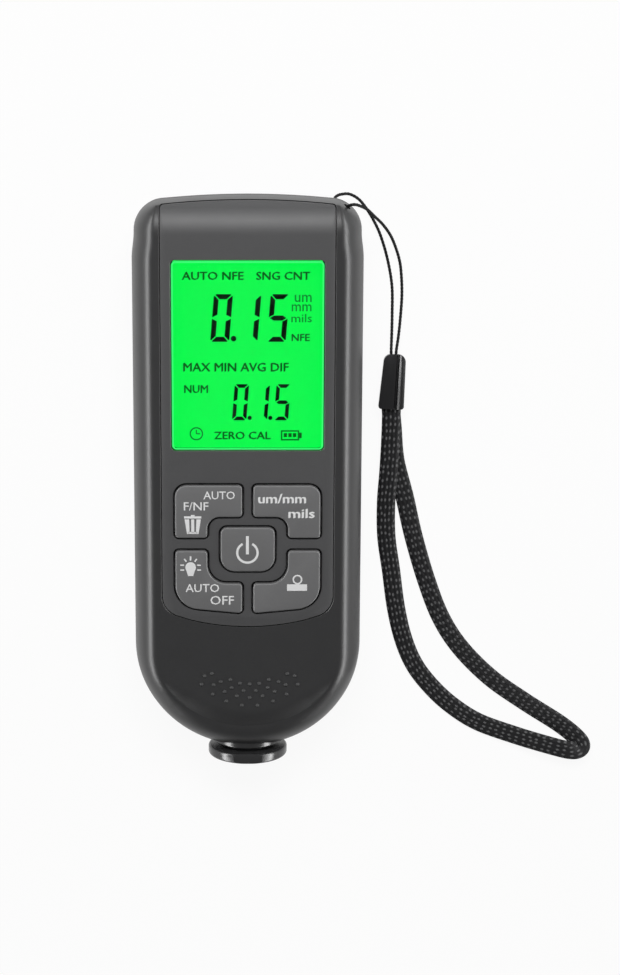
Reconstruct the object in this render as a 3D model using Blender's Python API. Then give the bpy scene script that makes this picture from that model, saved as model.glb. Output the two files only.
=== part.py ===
# Handheld coating thickness gauge, lying on its back: +Z out of the display, +Y towards the
# lanyard end, the spring-loaded probe at -Y. Sizes are in millimetres and become metres in mm().

import math

import bmesh
import bpy
from mathutils import Matrix, Vector
from mathutils.bvhtree import BVHTree

# Case
CASE_HALF_WIDTH = 23.5
CASE_TOP_Y = 59.0
CASE_END_Y = -56.6
CASE_THICKNESS = 24.0
PARTING_Z = 12.0              # where the covers meet, and the height of the probe's axis
PARTING_GAP = 0.3
WALL = 1.8
CORNER_RADIUS = 5.2
TOP_SAG_RADIUS = 172.0
END_LENGTH = 22.9             # the elliptical lower end starts this far above its tip
HEAD_LENGTH = 7.1             # over this length the front bends down to the head end
HEAD_BEND_RADIUS = 9.2
HEAD_STEP = 0.45              # the head is this much narrower on each side
HEAD_STEP_LENGTH = 5.0
FLOOR_UNDER_PANEL = 3.0       # depth of the front wall, recess included
SIDE_ROLL = 4.8               # how far in the front edge rolls, at the sides
END_ROLL = 6.9
TOP_ROLL = 0.5
BACK_ROLL = 5.0
BACK_HEAD_ROLL = 3.0
RIM_DROP = 1.5                # the rim below the thumb rest lies this much lower
RIM_DROP_START = 18.6
RIM_DROP_LENGTH = 9.0
THUMB_SLOPE_WIDTH = 4.2
THUMB_DOT_RADIUS = 0.42       # small raised dots that keep the thumb from slipping
THUMB_DOT_TOP_RADIUS = 0.28
THUMB_DOT_RISE = 0.22
THUMB_DOT_SINK = 0.5
THUMB_DOTS = (                # distance from the middle of the case, and from the tip of its end
    (9.25, 18.2), (7.75, 18.7), (5.95, 16.95), (3.95, 17.4), (2.0, 16.6), (0.0, 16.45),
    (9.9, 16.4), (7.4, 16.3), (3.7, 15.7), (5.15, 14.85), (1.25, 15.05), (7.6, 14.3),
    (2.65, 13.9), (0.0, 13.55), (4.8, 12.8), (1.6, 11.9),
)
LIP_HEIGHT = 1.0              # a lip on the rear cover stands up inside the rim of the front cover
LIP_THICKNESS = 0.8
INNER_CORNER_RADIUS = 11.0    # thick corners, which carry the lanyard channel
NOSE_WALL = 6.4               # the end wall round the probe

CROWN_HALF_WIDTH = CASE_HALF_WIDTH - HEAD_STEP
HEAD_Y = CASE_TOP_Y - HEAD_LENGTH
END_ARC_Y = CASE_END_Y + END_LENGTH
NOSE_WALL_Y = CASE_END_Y + NOSE_WALL

# Fits
GAP = 0.3                     # between pieces that seat on or lie beside each other
SLIDE_GAP = 0.3               # round a piece that slides
PILOT_GAP = 0.25              # round a screw's thread in its boss

# Face panel, display and board
PANEL_SIDE_MARGIN = 6.2       # from the side of the case
PANEL_TOP_MARGIN = 0.7
PANEL_END_MARGIN = 28.7       # leaves the thumb rest below the panel
PANEL_END_RADIUS = 48.7
PANEL_CORNER_RADIUS = 4.4
PANEL_TOP_CORNER = 0.6
PANEL_THICKNESS = 1.2
WINDOW_SIDE_MARGIN = 2.1      # from the side of the panel
WINDOW_TOP_MARGIN = 11.5
WINDOW_LENGTH = 38.0
WINDOW_CORNER_RADIUS = 0.9
LENS_BELOW_PANEL = 0.2
LENS_EDGE = 0.35
LENS_FLANGE = 1.0
LENS_FLANGE_THICKNESS = 0.6
GLASS_THICKNESS = 1.7
GLASS_INSET = 0.05
STRIP_WIDTH = 2.0
STRIP_INSET = 0.8
LIGHT_INSET = 0.1
LIGHT_EDGE = 0.25
FRAME_SIDE_WALL = 1.3
FRAME_LOWER_WALL = 3.2
FRAME_UPPER_WALL = 2.0
BOARD_THICKNESS = 1.6
BOARD_SIDE_ROOM = 4.5         # from the outside of the case
BOARD_TOP_ROOM = 9.5
BOARD_END_ROOM = 27.3
BOARD_CORNER = 2.0
CHIP_SIZE = 7.0
CHIP_THICKNESS = 1.2
CHIP_ROOM = 2.0
CHIP_EDGE = 0.15

PANEL_HALF_WIDTH = CASE_HALF_WIDTH - PANEL_SIDE_MARGIN
PANEL_TOP_Y = CASE_TOP_Y - PANEL_TOP_MARGIN
PANEL_END_Y = CASE_END_Y + PANEL_END_MARGIN
WINDOW_HALF_WIDTH = PANEL_HALF_WIDTH - WINDOW_SIDE_MARGIN
WINDOW_HIGH_Y = PANEL_TOP_Y - WINDOW_TOP_MARGIN
WINDOW_LOW_Y = WINDOW_HIGH_Y - WINDOW_LENGTH
FRAME_LOW_Y = WINDOW_LOW_Y - FRAME_LOWER_WALL

# Keys: two in a row above the power key, and two below it, with legs that reach round it
KEY_PROUD = 0.5
KEY_TRAVEL = 0.6
KEY_EDGE = 0.25
KEY_FLANGE = 0.5
KEY_FLANGE_THICKNESS = 0.8
KEY_CORNER = 0.85
KEY_OUTER_CORNER = 2.4
KEY_SIDE_MARGIN = 2.53        # from the side of the panel
KEY_MIDDLE_GAP = 2.1
KEY_LEG_WIDTH = 6.67
KEY_LEG_GAP = 2.5
KEYS_BELOW_WINDOW = 7.16
UPPER_KEY_ARM = 6.7
UPPER_KEY_LENGTH = 11.04
POWER_KEY_SIDE_GAP = 2.53
POWER_KEY_TOP_GAP = 2.0
POWER_KEY_END_GAP = 2.35
POWER_KEY_LENGTH = 9.34
POWER_KEY_TOP_CORNER = 1.4
POWER_KEY_END_CORNER = 3.0
LOWER_KEY_ARM = 6.45
LOWER_KEY_RISE = 1.3          # the lower keys follow the curved end of the panel
LOWER_KEY_OUTER_CORNER = 5.0
LOWER_KEY_INNER_CORNER = 3.8
LOWER_KEY_PRESS = 1.5
MAT_THICKNESS = 1.0
MAT_MARGIN = 0.9
MAT_ROOM = 1.2
MAT_CORNER = 1.5
MAT_PLUNGER_RADIUS = 1.8
MAT_FOOT = 1.2                # the plungers flare by this much to their feet
MAT_PLUNGER_GAP = 0.1

KEY_SIDE_X = PANEL_HALF_WIDTH - KEY_SIDE_MARGIN
KEY_MIDDLE_X = KEY_MIDDLE_GAP / 2
KEY_LEG_X = KEY_SIDE_X - KEY_LEG_WIDTH
UPPER_KEY_TOP_Y = WINDOW_LOW_Y - KEYS_BELOW_WINDOW
UPPER_KEY_ARM_Y = UPPER_KEY_TOP_Y - UPPER_KEY_ARM
UPPER_KEY_LEG_Y = UPPER_KEY_TOP_Y - UPPER_KEY_LENGTH
POWER_KEY_HALF_WIDTH = KEY_LEG_X - POWER_KEY_SIDE_GAP
POWER_KEY_TOP_Y = UPPER_KEY_ARM_Y - POWER_KEY_TOP_GAP
POWER_KEY_END_Y = POWER_KEY_TOP_Y - POWER_KEY_LENGTH
LOWER_KEY_LEG_Y = UPPER_KEY_LEG_Y - KEY_LEG_GAP
LOWER_KEY_ARM_Y = POWER_KEY_END_Y - POWER_KEY_END_GAP
LOWER_KEY_END_Y = LOWER_KEY_ARM_Y - LOWER_KEY_ARM
LOWER_KEY_SIDE_END_Y = LOWER_KEY_END_Y + LOWER_KEY_RISE

# Cells and their bay
CELL_RADIUS = 5.2
CELL_LENGTH = 44.2
CELL_SPACING = 11.5
CELL_EDGE = 0.4
CELL_NUB_RADIUS = 1.9
CELL_NUB_LENGTH = 0.9
BAY_CLEARANCE = 0.45
BAY_ROOF_GAP = 0.25
BAY_WALL = 1.3
BAY_WALL_CORNER = 1.0
BAY_LOW_Y = -18.0
DOOR_THICKNESS = 1.5
DOOR_SET_BACK = 0.1
DOOR_GAP = 0.25
DOOR_CORNER = 2.0
DOOR_EDGE = 0.2
DOOR_LIP = 1.0                # the door overlaps the bay walls by this much all round
HOOK_X = 7.0
HOOK_WIDTH = 4.0
HOOK_REACH = 1.6              # how far the hooks go in behind the end of the bay
HOOK_FOOT = 0.9
HOOK_THICKNESS = 1.1
HOOK_SWING_ROOM = 0.9         # headroom in the hook slots for the tilting door
GRIP_COUNT = 4
GRIP_PITCH = 1.6
GRIP_HALF_LENGTH = 5.0
GRIP_WIDTH = 0.7
GRIP_DEPTH = 0.4
GRIP_START = 2.0
LATCH_SLOT_X = 6.6
LATCH_SLOT_WIDTH = 0.8
LATCH_LENGTH = 9.0
CONTACT_THICKNESS = 0.4
CONTACT_HALF_HEIGHT = 3.8
CELL_SPRING_LENGTH = 3.4
CELL_SPRING_WIRE = 0.25
CELL_SPRING_RADIUS = 2.6
CELL_SPRING_TURNS = 3.5

BAY_HALF_WIDTH = CELL_SPACING / 2 + CELL_RADIUS + BAY_CLEARANCE
BAY_LENGTH = CELL_SPRING_LENGTH + CELL_LENGTH + 2 * CONTACT_THICKNESS + 5 * GAP
BAY_HIGH_Y = BAY_LOW_Y + BAY_LENGTH

# Probe: the foot and its sleeve slide in the nose, against a spring
PROBE_TRAVEL = 0.8
FOOT_PROUD = 2.4              # beyond the tip of the case
FOOT_THICKNESS = 2.1
FOOT_RADIUS = 8.3
FOOT_FACE_EDGE = 0.6
FOOT_BACK_EDGE = 0.5
FOOT_FLAT = 7.75              # distance of the two flats from the probe's axis
STOP_GAP = 0.2                # left between foot and nose when the probe is pressed home
NOSE_RADIUS = 7.4
NOSE_EDGE = 0.4
NOSE_FLANGE_RADIUS = 8.6
NOSE_FLANGE_THICKNESS = 1.4
NOSE_INSIDE = 4.2             # how far the nose reaches in past the end wall
SPOT_FACE_RADIUS = 9.2
SPOT_FACE_DEPTH = 0.4
SLEEVE_RADIUS = 5.3
SLEEVE_BORE_RADIUS = 3.3
SLEEVE_BEHIND_NOSE = 3.0
GROOVE_DEPTH = 0.7
RETAINER_RADIUS = 6.8
RETAINER_THICKNESS = 1.0
CORE_RADIUS = 1.2
CORE_TIP_RADIUS = 2.6
CORE_TIP_LENGTH = 4.0
CORE_SET_BACK = 0.1           # behind the measuring face
CORE_DOME_RISE = 1.3
CORE_END_SET_BACK = 0.5       # inside the end of the sleeve
COIL_RADIUS = 2.9
COIL_FLANGE = 0.8
COIL_DEPTH = 0.5
PROBE_SPRING_RADIUS = 4.6
PROBE_SPRING_WIRE = 0.35
PROBE_SPRING_TURNS = 4.5
PROBE_SPRING_LENGTH = 7.8
BULKHEAD_HALF_WIDTH = 7.0
BULKHEAD_THICKNESS = 1.6
BULKHEAD_RISE = 5.5           # above the probe's axis

FOOT_END_Y = CASE_END_Y - FOOT_PROUD
FOOT_BACK_Y = FOOT_END_Y + FOOT_THICKNESS
NOSE_END_Y = FOOT_BACK_Y + PROBE_TRAVEL + STOP_GAP
NOSE_BACK_Y = NOSE_WALL_Y + NOSE_INSIDE
SPOT_FACE_Y = NOSE_END_Y + SPOT_FACE_DEPTH
SLEEVE_BACK_Y = NOSE_BACK_Y + SLEEVE_BEHIND_NOSE
BULKHEAD_Y = SLEEVE_BACK_Y + GAP + PROBE_SPRING_LENGTH + GAP

# Screws
UPPER_SCREW_SIDE = 8.5        # from the side of the case
UPPER_SCREW_TOP = 6.4
LOWER_SCREW_SIDE = 7.5
LOWER_SCREW_END = 24.1
SCREW_RADIUS = 1.1
SCREW_POINT_RADIUS = 0.3
SCREW_POINT_LENGTH = 1.0
SCREW_HEAD_RADIUS = 2.1
SCREW_HEAD_THICKNESS = 1.5
SCREW_HEAD_EDGE = 0.4
SCREW_HEAD_Z = 1.0
SCREW_LENGTH = 14.0
SCREW_RECESS_RADIUS = 0.9
SCREW_RECESS_DEPTH = 0.8
PILOT_BEYOND_SCREW = 0.8
FRONT_BOSS_RADIUS = 2.4
REAR_BOSS_RADIUS = 3.7

# Lanyard: a bent channel through the right-hand corner, a cord, a clip and a flat braid
CHANNEL_RADIUS = 0.8
CHANNEL_FRONT = (CASE_HALF_WIDTH - 2.65, CASE_TOP_Y - 0.44, CASE_THICKNESS - 2.46)
CHANNEL_MIDDLE = (CASE_HALF_WIDTH - 5.15, CASE_TOP_Y - 4.15, PARTING_Z + 0.9)
CHANNEL_BACK = (CASE_HALF_WIDTH - 6.42, CASE_TOP_Y + 0.13, PARTING_Z - 7.35)
CHANNEL_OVERLAP = 0.5         # of its two straight runs at the bend
CORD_DIAMETER = 0.65
STRAP_WIDTH = 4.0
STRAP_THICKNESS = 1.1
STRAP_EDGE = 0.4
FERRULE_LENGTH = 11.6
FERRULE_WIDTH = 5.4
FERRULE_HEIGHT = 4.6
FERRULE_EDGE = 0.7
FERRULE_CORNER = 0.6
FERRULE_SHOULDER = 1.6
FERRULE_PLACE = (30.3, 19.4)
FERRULE_TURN = math.radians(-3.0)

# How finely round forms are cut into facets
ARC_STEPS = 4
SMALL_ARC_STEPS = 2           # for a corner of less than SMALL_CORNER
SMALL_CORNER = 1.0
ROUND_STEPS = 28
CELL_STEPS = 16
SMALL_ROUND_STEPS = 12
DOT_SIDES = 6
CHANNEL_SIDES = 12
SPRING_STEPS = 8              # a turn
SPRING_SIDES = 5
FRONT_ROLL_STEPS = 7
BACK_ROLL_STEPS = 6
INNER_ROLL_STEPS = 4
SLAB_STEPS = 6                # of the bend at the head
ROUTE_STEPS = 2               # between two points of a cord's route

BEYOND = 3.0                  # how far a cutter reaches past what it cuts
STRAIGHT = math.radians(89)   # half the angle at a point that is hardly a corner
MITRE_LIMIT = 0.4             # keeps the mitre of a sharp corner short
BEND_LIMIT = 0.98             # of the bend's radius: past it the arc would turn under


def mm(x, y, z):
    return Vector((x, y, z)) / 1000.0


def material(name, colour, roughness, metallic=0.0, transmission=0.0, emission=0.0):
    made = bpy.data.materials.new(name)
    made.use_nodes = True
    shader = made.node_tree.nodes["Principled BSDF"]
    shader.inputs["Base Color"].default_value = (*colour, 1.0)
    shader.inputs["Roughness"].default_value = roughness
    shader.inputs["Metallic"].default_value = metallic
    shader.inputs["Transmission Weight"].default_value = transmission
    shader.inputs["Emission Color"].default_value = (*colour, 1.0)
    shader.inputs["Emission Strength"].default_value = emission
    made.diffuse_color = (*colour, 1.0)
    return made


def add_object(name, mesh, finish=None, helper=False):
    made = bpy.data.objects.new(name, mesh)
    bpy.context.scene.collection.objects.link(made)
    if finish:
        mesh.materials.append(finish)
    if helper:
        made.hide_render = True
        made.display_type = "WIRE"
    return made


def mesh_from(name, bm, smooth_degrees=32):
    bmesh.ops.remove_doubles(bm, verts=bm.verts, dist=1e-7)
    bmesh.ops.recalc_face_normals(bm, faces=bm.faces)
    mesh = bpy.data.meshes.new(name)
    bm.to_mesh(mesh)
    bm.free()
    mesh.shade_smooth()
    mesh.set_sharp_from_angle(angle=math.radians(smooth_degrees))
    return mesh


def boolean(target, other, operation):
    step = target.modifiers.new(f"{operation.lower()}_{other.name}", "BOOLEAN")
    step.operation = operation
    step.object = other
    step.solver = "EXACT"


def cut(target, *cutters):
    for cutter in cutters:
        boolean(target, cutter, "DIFFERENCE")


def join(target, *others):
    for other in others:
        boolean(target, other, "UNION")


def keep_inside(target, *others):
    for other in others:
        boolean(target, other, "INTERSECT")


def rounded(corners, steps=ARC_STEPS):
    """An outline from (x, y, radius) corners, each rounded by an arc of its own radius."""
    outline = []
    count = len(corners)
    for i, (x, y, radius) in enumerate(corners):
        here = Vector((x, y))
        before = (Vector(corners[i - 1][:2]) - here).normalized()
        after = (Vector(corners[(i + 1) % count][:2]) - here).normalized()
        half_angle = before.angle(after) / 2
        if radius <= 0 or half_angle > STRAIGHT:
            outline.append((x, y))
            continue
        reach = radius / math.tan(half_angle)
        start = here + before * reach
        end = here + after * reach
        centre = here + (before + after).normalized() * radius / math.sin(half_angle)
        first = math.atan2(start.y - centre.y, start.x - centre.x)
        sweep = math.atan2(end.y - centre.y, end.x - centre.x) - first
        sweep = (sweep + math.pi) % (2 * math.pi) - math.pi
        arc_steps = min(steps, SMALL_ARC_STEPS) if radius < SMALL_CORNER else steps
        for k in range(arc_steps + 1):
            angle = first + sweep * k / arc_steps
            outline.append((centre.x + radius * math.cos(angle), centre.y + radius * math.sin(angle)))
    return outline


def rectangle(half_width, low_y, high_y, radius=0.0, middle_x=0.0):
    left = middle_x - half_width
    right = middle_x + half_width
    return [(right, low_y, radius), (right, high_y, radius), (left, high_y, radius), (left, low_y, radius)]


def signed_area(points):
    return sum(a[0] * b[1] - b[0] * a[1] for a, b in zip(points, points[1:] + points[:1])) / 2


def grown(outline, distance):
    """The outline moved outwards by distance, each point along the mean of its two edges' normals."""
    turn = 1 if signed_area(outline) > 0 else -1
    moved = []
    count = len(outline)
    for i in range(count):
        before = (Vector(outline[i]) - Vector(outline[i - 1])).normalized()
        after = (Vector(outline[(i + 1) % count]) - Vector(outline[i])).normalized()
        normal_a = Vector((before.y, -before.x)) * turn
        normal_b = Vector((after.y, -after.x)) * turn
        middle = (normal_a + normal_b).normalized()
        moved.append(tuple(Vector(outline[i]) + middle * distance / max(middle.dot(normal_a), MITRE_LIMIT)))
    return moved


def prism_into(bm, outline, low_z, high_z):
    lower = [bm.verts.new(mm(x, y, low_z)) for x, y in outline]
    upper = [bm.verts.new(mm(x, y, high_z)) for x, y in outline]
    bm.faces.new(lower[::-1])
    bm.faces.new(upper)
    for i in range(len(outline)):
        k = (i + 1) % len(outline)
        bm.faces.new((lower[i], lower[k], upper[k], upper[i]))


def stack_into(bm, rings):
    """Closes a solid from (outline, z) rings that all have as many points."""
    levels = [[bm.verts.new(mm(x, y, z)) for x, y in outline] for outline, z in rings]
    bm.faces.new(levels[0][::-1])
    bm.faces.new(levels[-1])
    for lower, upper in zip(levels, levels[1:]):
        for i in range(len(lower)):
            k = (i + 1) % len(lower)
            bm.faces.new((lower[i], lower[k], upper[k], upper[i]))


def prism(name, outline, low_z, high_z, finish=None, edge=0.0):
    """An extruded outline. With edge, its top and bottom rims are chamfered by that much."""
    helper = finish is None
    bm = bmesh.new()
    if edge:
        inside = grown(outline, -edge)
        stack_into(bm, [(inside, low_z), (outline, low_z + edge), (outline, high_z - edge), (inside, high_z)])
    else:
        prism_into(bm, outline, low_z, high_z)
    return add_object(name, mesh_from(name, bm), finish, helper)


def lathe_into(bm, profile, steps, place=Matrix.Identity(4)):
    """Turns (radius, height) points, from bottom to top, about Z and then moves them by place."""
    columns = []
    for k in range(steps):
        angle = 2 * math.pi * k / steps
        column = []
        for radius, height in profile:
            if radius == 0 and k:
                column.append(columns[0][len(column)])
                continue
            point = mm(radius * math.cos(angle), radius * math.sin(angle), height)
            column.append(bm.verts.new(place @ point))
        columns.append(column)
    closed_ring = profile[0][0] > 0 and profile[-1][0] > 0
    for k in range(steps):
        here = columns[k]
        beyond = columns[(k + 1) % steps]
        pairs = list(range(len(profile) - 1)) + ([-1] if closed_ring else [])
        for i in pairs:
            corners = []
            for vert in (here[i], beyond[i], beyond[i + 1], here[i + 1]):
                if vert not in corners:
                    corners.append(vert)
            if len(corners) > 2:
                bm.faces.new(corners)


def lathe(name, profile, finish=None, steps=32, place=Matrix.Identity(4)):
    bm = bmesh.new()
    lathe_into(bm, profile, steps, place)
    return add_object(name, mesh_from(name, bm), finish, finish is None)


def along_y(x=0.0, z=PARTING_Z, flip=False):
    """Turns a lathe's +Z to +Y, or to -Y with flip, on the line through (x, z)."""
    turn = Matrix.Rotation(math.radians(90 if flip else -90), 4, "X")
    return Matrix.Translation(mm(x, 0, z)) @ turn


def smooth_step(value):
    value = min(max(value, 0.0), 1.0)
    return value * value * (3 - 2 * value)


def head_bend(y):
    """How far the front falls below its flat at y, on the arc that rounds the head end."""
    past = min(max(y - HEAD_Y, 0.0), HEAD_BEND_RADIUS * BEND_LIMIT)
    return HEAD_BEND_RADIUS - math.sqrt(HEAD_BEND_RADIUS ** 2 - past ** 2)


def rim_drop(y):
    return RIM_DROP * smooth_step((CASE_END_Y + RIM_DROP_START - y) / RIM_DROP_LENGTH)


class Plan:
    """The case seen from the front: points up the right side from the lower end to the middle
    of the head, each with its outward normal, its share of the end, and whether it is on the head."""

    END_STEPS = 12
    SIDE_STEPS = 3
    CORNER_STEPS = 6
    CORNER_SWEEP = math.radians(87)
    CORNER_ROOM = 0.5
    HEAD_STEPS = 4
    SLOPE_WIDTH = 0.5
    HEAD_SLOPE_WIDTH = 0.3
    SLOPE_SPREAD = 2.5

    def __init__(self, side_x, head_x, end_y, top_y, corner_radius):
        self.points = []
        self.head_x = head_x
        depth = END_ARC_Y - end_y
        for k in range(self.END_STEPS + 1):
            angle = -math.pi / 2 + math.pi / 2 * k / self.END_STEPS
            place = (side_x * math.cos(angle), END_ARC_Y + depth * math.sin(angle))
            normal = Vector((math.cos(angle) / side_x, math.sin(angle) / depth)).normalized()
            self.points.append((place, normal, math.sin(angle) ** 2, False))
        corner_x = head_x - corner_radius
        corner_y = top_y - corner_x ** 2 / (2 * TOP_SAG_RADIUS) - corner_radius
        straight = Vector((1.0, 0.0))
        step_y = min(HEAD_Y, corner_y - self.CORNER_ROOM)
        for k in range(1, self.SIDE_STEPS):
            side_y = END_ARC_Y + (step_y - END_ARC_Y) * k / self.SIDE_STEPS
            self.points.append(((side_x, side_y), straight, 0.0, False))
        self.points.append(((side_x, step_y - HEAD_STEP_LENGTH), straight, 0.0, False))
        self.points.append(((head_x, step_y), straight, 0.0, False))
        for k in range(self.CORNER_STEPS + 1):
            angle = self.CORNER_SWEEP * k / self.CORNER_STEPS
            normal = Vector((math.cos(angle), math.sin(angle)))
            place = (corner_x + corner_radius * normal.x, corner_y + corner_radius * normal.y)
            self.points.append((place, normal, 0.0, True))
        last_x = self.points[-1][0][0]
        for k in range(1, self.HEAD_STEPS + 1):
            x = last_x * (1 - k / self.HEAD_STEPS)
            place = (x, top_y - x ** 2 / (2 * TOP_SAG_RADIUS))
            self.points.append((place, Vector((0.0, 1.0)), 0.0, True))

    def ring(self, rolls, share, slope=0.0):
        """The closed outline, moved in by a share of the (side, end, head) rolls and a slope."""
        side_roll, end_roll, head_roll = rolls
        right = []
        for place, normal, end, on_head in self.points:
            start = Vector(place)
            if on_head:
                flat_x = min(start.x, self.head_x - side_roll)
                target = Vector((flat_x, start.y - head_roll * normal.y))
                inwards = -self.SLOPE_WIDTH if flat_x > 0 else 0.0
                further = Vector((inwards, -self.HEAD_SLOPE_WIDTH * normal.y))
            else:
                target = start - normal * (side_roll + (end_roll - side_roll) * end)
                wide = min(1.0, self.SLOPE_SPREAD * end)
                further = -normal * (self.SLOPE_WIDTH + (THUMB_SLOPE_WIDTH - self.SLOPE_WIDTH) * wide)
            moved = start.lerp(target, share) + further * slope
            right.append((moved.x, moved.y))
        right[0] = (0.0, right[0][1])
        right[-1] = (0.0, right[-1][1])
        left = [(-x, y) for x, y in right[-2:0:-1]]
        return right + left


def skin_rings(plan, rolls, height_of, steps, slope=()):
    """Rings from the parting plane up to the flat front: a quarter ellipse, then a thumb slope."""
    rings = []
    for k in range(steps + 1):
        angle = math.pi / 2 * k / steps
        outline = plan.ring(rolls, 1 - math.cos(angle))
        rings.append([(x, y, height_of(y, 0.0) * math.sin(angle)) for x, y in outline])
    for share, rise in slope:
        outline = plan.ring(rolls, 1.0, share)
        rings.append([(x, y, height_of(y, rise)) for x, y in outline])
    return rings


def shell_into(bm, outer, inner, lap, lap_height, base_z, turn):
    """A cup with an open rim at base_z, which turn (1 or -1) raises up or down: rings of an outer
    and an inner skin, their caps, and in the rim a step along the lap outline, up to lap_height."""

    def level(ring):
        return [bm.verts.new(mm(x, y, base_z + turn * z)) for x, y, z in ring]

    def walls(levels):
        for lower, upper in zip(levels, levels[1:]):
            for i in range(len(lower)):
                k = (i + 1) % len(lower)
                bm.faces.new((lower[i], lower[k], upper[k], upper[i]))

    def cap(ring):
        half = len(ring) // 2
        for i in range(half):
            right = (ring[i], ring[i + 1])
            left = (ring[-(i + 1)], ring[-i] if i else ring[0])
            corners = []
            for vert in (*right, *left):
                if vert not in corners:
                    corners.append(vert)
            if len(corners) > 2:
                bm.faces.new(corners)

    outer_levels = [level(ring) for ring in outer]
    walls(outer_levels)
    cap(outer_levels[-1])
    rim = [(x, y, lap_height) for x, y, z in inner[0]]
    inner_levels = [level(ring) for ring in [rim] + inner[1:]]
    walls(inner_levels)
    cap(inner_levels[-1])
    foot = level([(x, y, 0.0) for x, y in lap])
    top = level([(x, y, lap_height) for x, y in lap])
    walls([outer_levels[0], foot, top, inner_levels[0]])


def outer_plan():
    return Plan(CASE_HALF_WIDTH, CROWN_HALF_WIDTH, CASE_END_Y, CASE_TOP_Y, CORNER_RADIUS)


def inner_plan(out=0.0):
    """The plan of the inner walls, or of a step that lies further out."""
    half = CROWN_HALF_WIDTH - WALL + out
    return Plan(half, half, NOSE_WALL_Y - out, CASE_TOP_Y - WALL + out, INNER_CORNER_RADIUS + out)


FRONT_ROLLS = (SIDE_ROLL, END_ROLL, TOP_ROLL)
BACK_ROLLS = (BACK_ROLL, BACK_ROLL, BACK_HEAD_ROLL)
INNER_ROLLS = (SIDE_ROLL, TOP_ROLL, TOP_ROLL)


def panel_outline(clearance=0.0):
    half = PANEL_HALF_WIDTH + clearance

    def end_y(x):
        return PANEL_END_Y - clearance + PANEL_END_RADIUS - math.sqrt(PANEL_END_RADIUS ** 2 - x ** 2)

    def top_y(x):
        return PANEL_TOP_Y + clearance - x ** 2 / (2 * TOP_SAG_RADIUS)

    lower = [(half * k / 8, end_y(half * k / 8), 0.0) for k in range(-5, 6, 2)]
    upper = [(half * k / 8, top_y(half * k / 8), 0.0) for k in range(6, -7, -3)]
    right = [(half, end_y(half), PANEL_CORNER_RADIUS), (half, top_y(half), PANEL_TOP_CORNER)]
    left = [(-half, top_y(half), PANEL_TOP_CORNER), (-half, end_y(half), PANEL_CORNER_RADIUS)]
    return rounded(lower + right + upper + left)


def bent_slab(name, low, high):
    """A slab across the whole width between two depths below the front, bent as the head is."""
    reach = HEAD_LENGTH + GAP
    bm = bmesh.new()
    rows = []
    bend_y = [HEAD_Y + reach * k / SLAB_STEPS for k in range(SLAB_STEPS + 1)]
    for y in [CASE_END_Y - BEYOND] + bend_y:
        fall = head_bend(y)
        rows.append((y, CASE_THICKNESS - low - fall, CASE_THICKNESS - high - fall))
    sides = []
    for x in (-CASE_HALF_WIDTH - BEYOND, CASE_HALF_WIDTH + BEYOND):
        lower = [bm.verts.new(mm(x, y, a)) for y, a, b in rows]
        upper = [bm.verts.new(mm(x, y, b)) for y, a, b in rows]
        sides.append(lower + upper[::-1])
    bm.faces.new(sides[0][::-1])
    bm.faces.new(sides[1])
    for i in range(len(sides[0])):
        k = (i + 1) % len(sides[0])
        bm.faces.new((sides[0][i], sides[0][k], sides[1][k], sides[1][i]))
    return add_object(name, mesh_from(name, bm), None, True)


def key_outlines():
    upper = [
        (-KEY_SIDE_X, UPPER_KEY_TOP_Y, KEY_OUTER_CORNER),
        (-KEY_SIDE_X, UPPER_KEY_LEG_Y, KEY_CORNER),
        (-KEY_LEG_X, UPPER_KEY_LEG_Y, KEY_CORNER),
        (-KEY_LEG_X, UPPER_KEY_ARM_Y, KEY_OUTER_CORNER),
        (-KEY_MIDDLE_X, UPPER_KEY_ARM_Y, KEY_CORNER),
        (-KEY_MIDDLE_X, UPPER_KEY_TOP_Y, KEY_CORNER),
    ]
    lower = [
        (-KEY_SIDE_X, LOWER_KEY_LEG_Y, KEY_CORNER),
        (-KEY_SIDE_X, LOWER_KEY_SIDE_END_Y, LOWER_KEY_OUTER_CORNER),
        (-KEY_MIDDLE_X, LOWER_KEY_END_Y, KEY_CORNER),
        (-KEY_MIDDLE_X, LOWER_KEY_ARM_Y, KEY_CORNER),
        (-KEY_LEG_X, LOWER_KEY_ARM_Y, LOWER_KEY_INNER_CORNER),
        (-KEY_LEG_X, LOWER_KEY_LEG_Y, KEY_CORNER),
    ]
    power = [
        (-POWER_KEY_HALF_WIDTH, POWER_KEY_TOP_Y, POWER_KEY_TOP_CORNER),
        (-POWER_KEY_HALF_WIDTH, POWER_KEY_END_Y, POWER_KEY_END_CORNER),
        (POWER_KEY_HALF_WIDTH, POWER_KEY_END_Y, POWER_KEY_END_CORNER),
        (POWER_KEY_HALF_WIDTH, POWER_KEY_TOP_Y, POWER_KEY_TOP_CORNER),
    ]

    def mirrored(corners):
        return [(-x, y, radius) for x, y, radius in reversed(corners)]

    return {
        "key_mode": rounded(upper),
        "key_units": rounded(mirrored(upper)),
        "key_power": rounded(power),
        "key_light": rounded(lower),
        "key_zero": rounded(mirrored(lower)),
    }


def key_middles():
    """Where each key is pressed: the middle of its widest part, above its plunger."""
    leg_x = (KEY_SIDE_X + KEY_LEG_X) / 2
    upper_y = (UPPER_KEY_TOP_Y + UPPER_KEY_ARM_Y) / 2
    lower_y = (LOWER_KEY_LEG_Y + LOWER_KEY_ARM_Y) / 2 - LOWER_KEY_PRESS
    power_y = (POWER_KEY_TOP_Y + POWER_KEY_END_Y) / 2
    return {
        "key_mode": (-leg_x, upper_y),
        "key_units": (leg_x, upper_y),
        "key_power": (0.0, power_y),
        "key_light": (-leg_x, lower_y),
        "key_zero": (leg_x, lower_y),
    }


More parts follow.
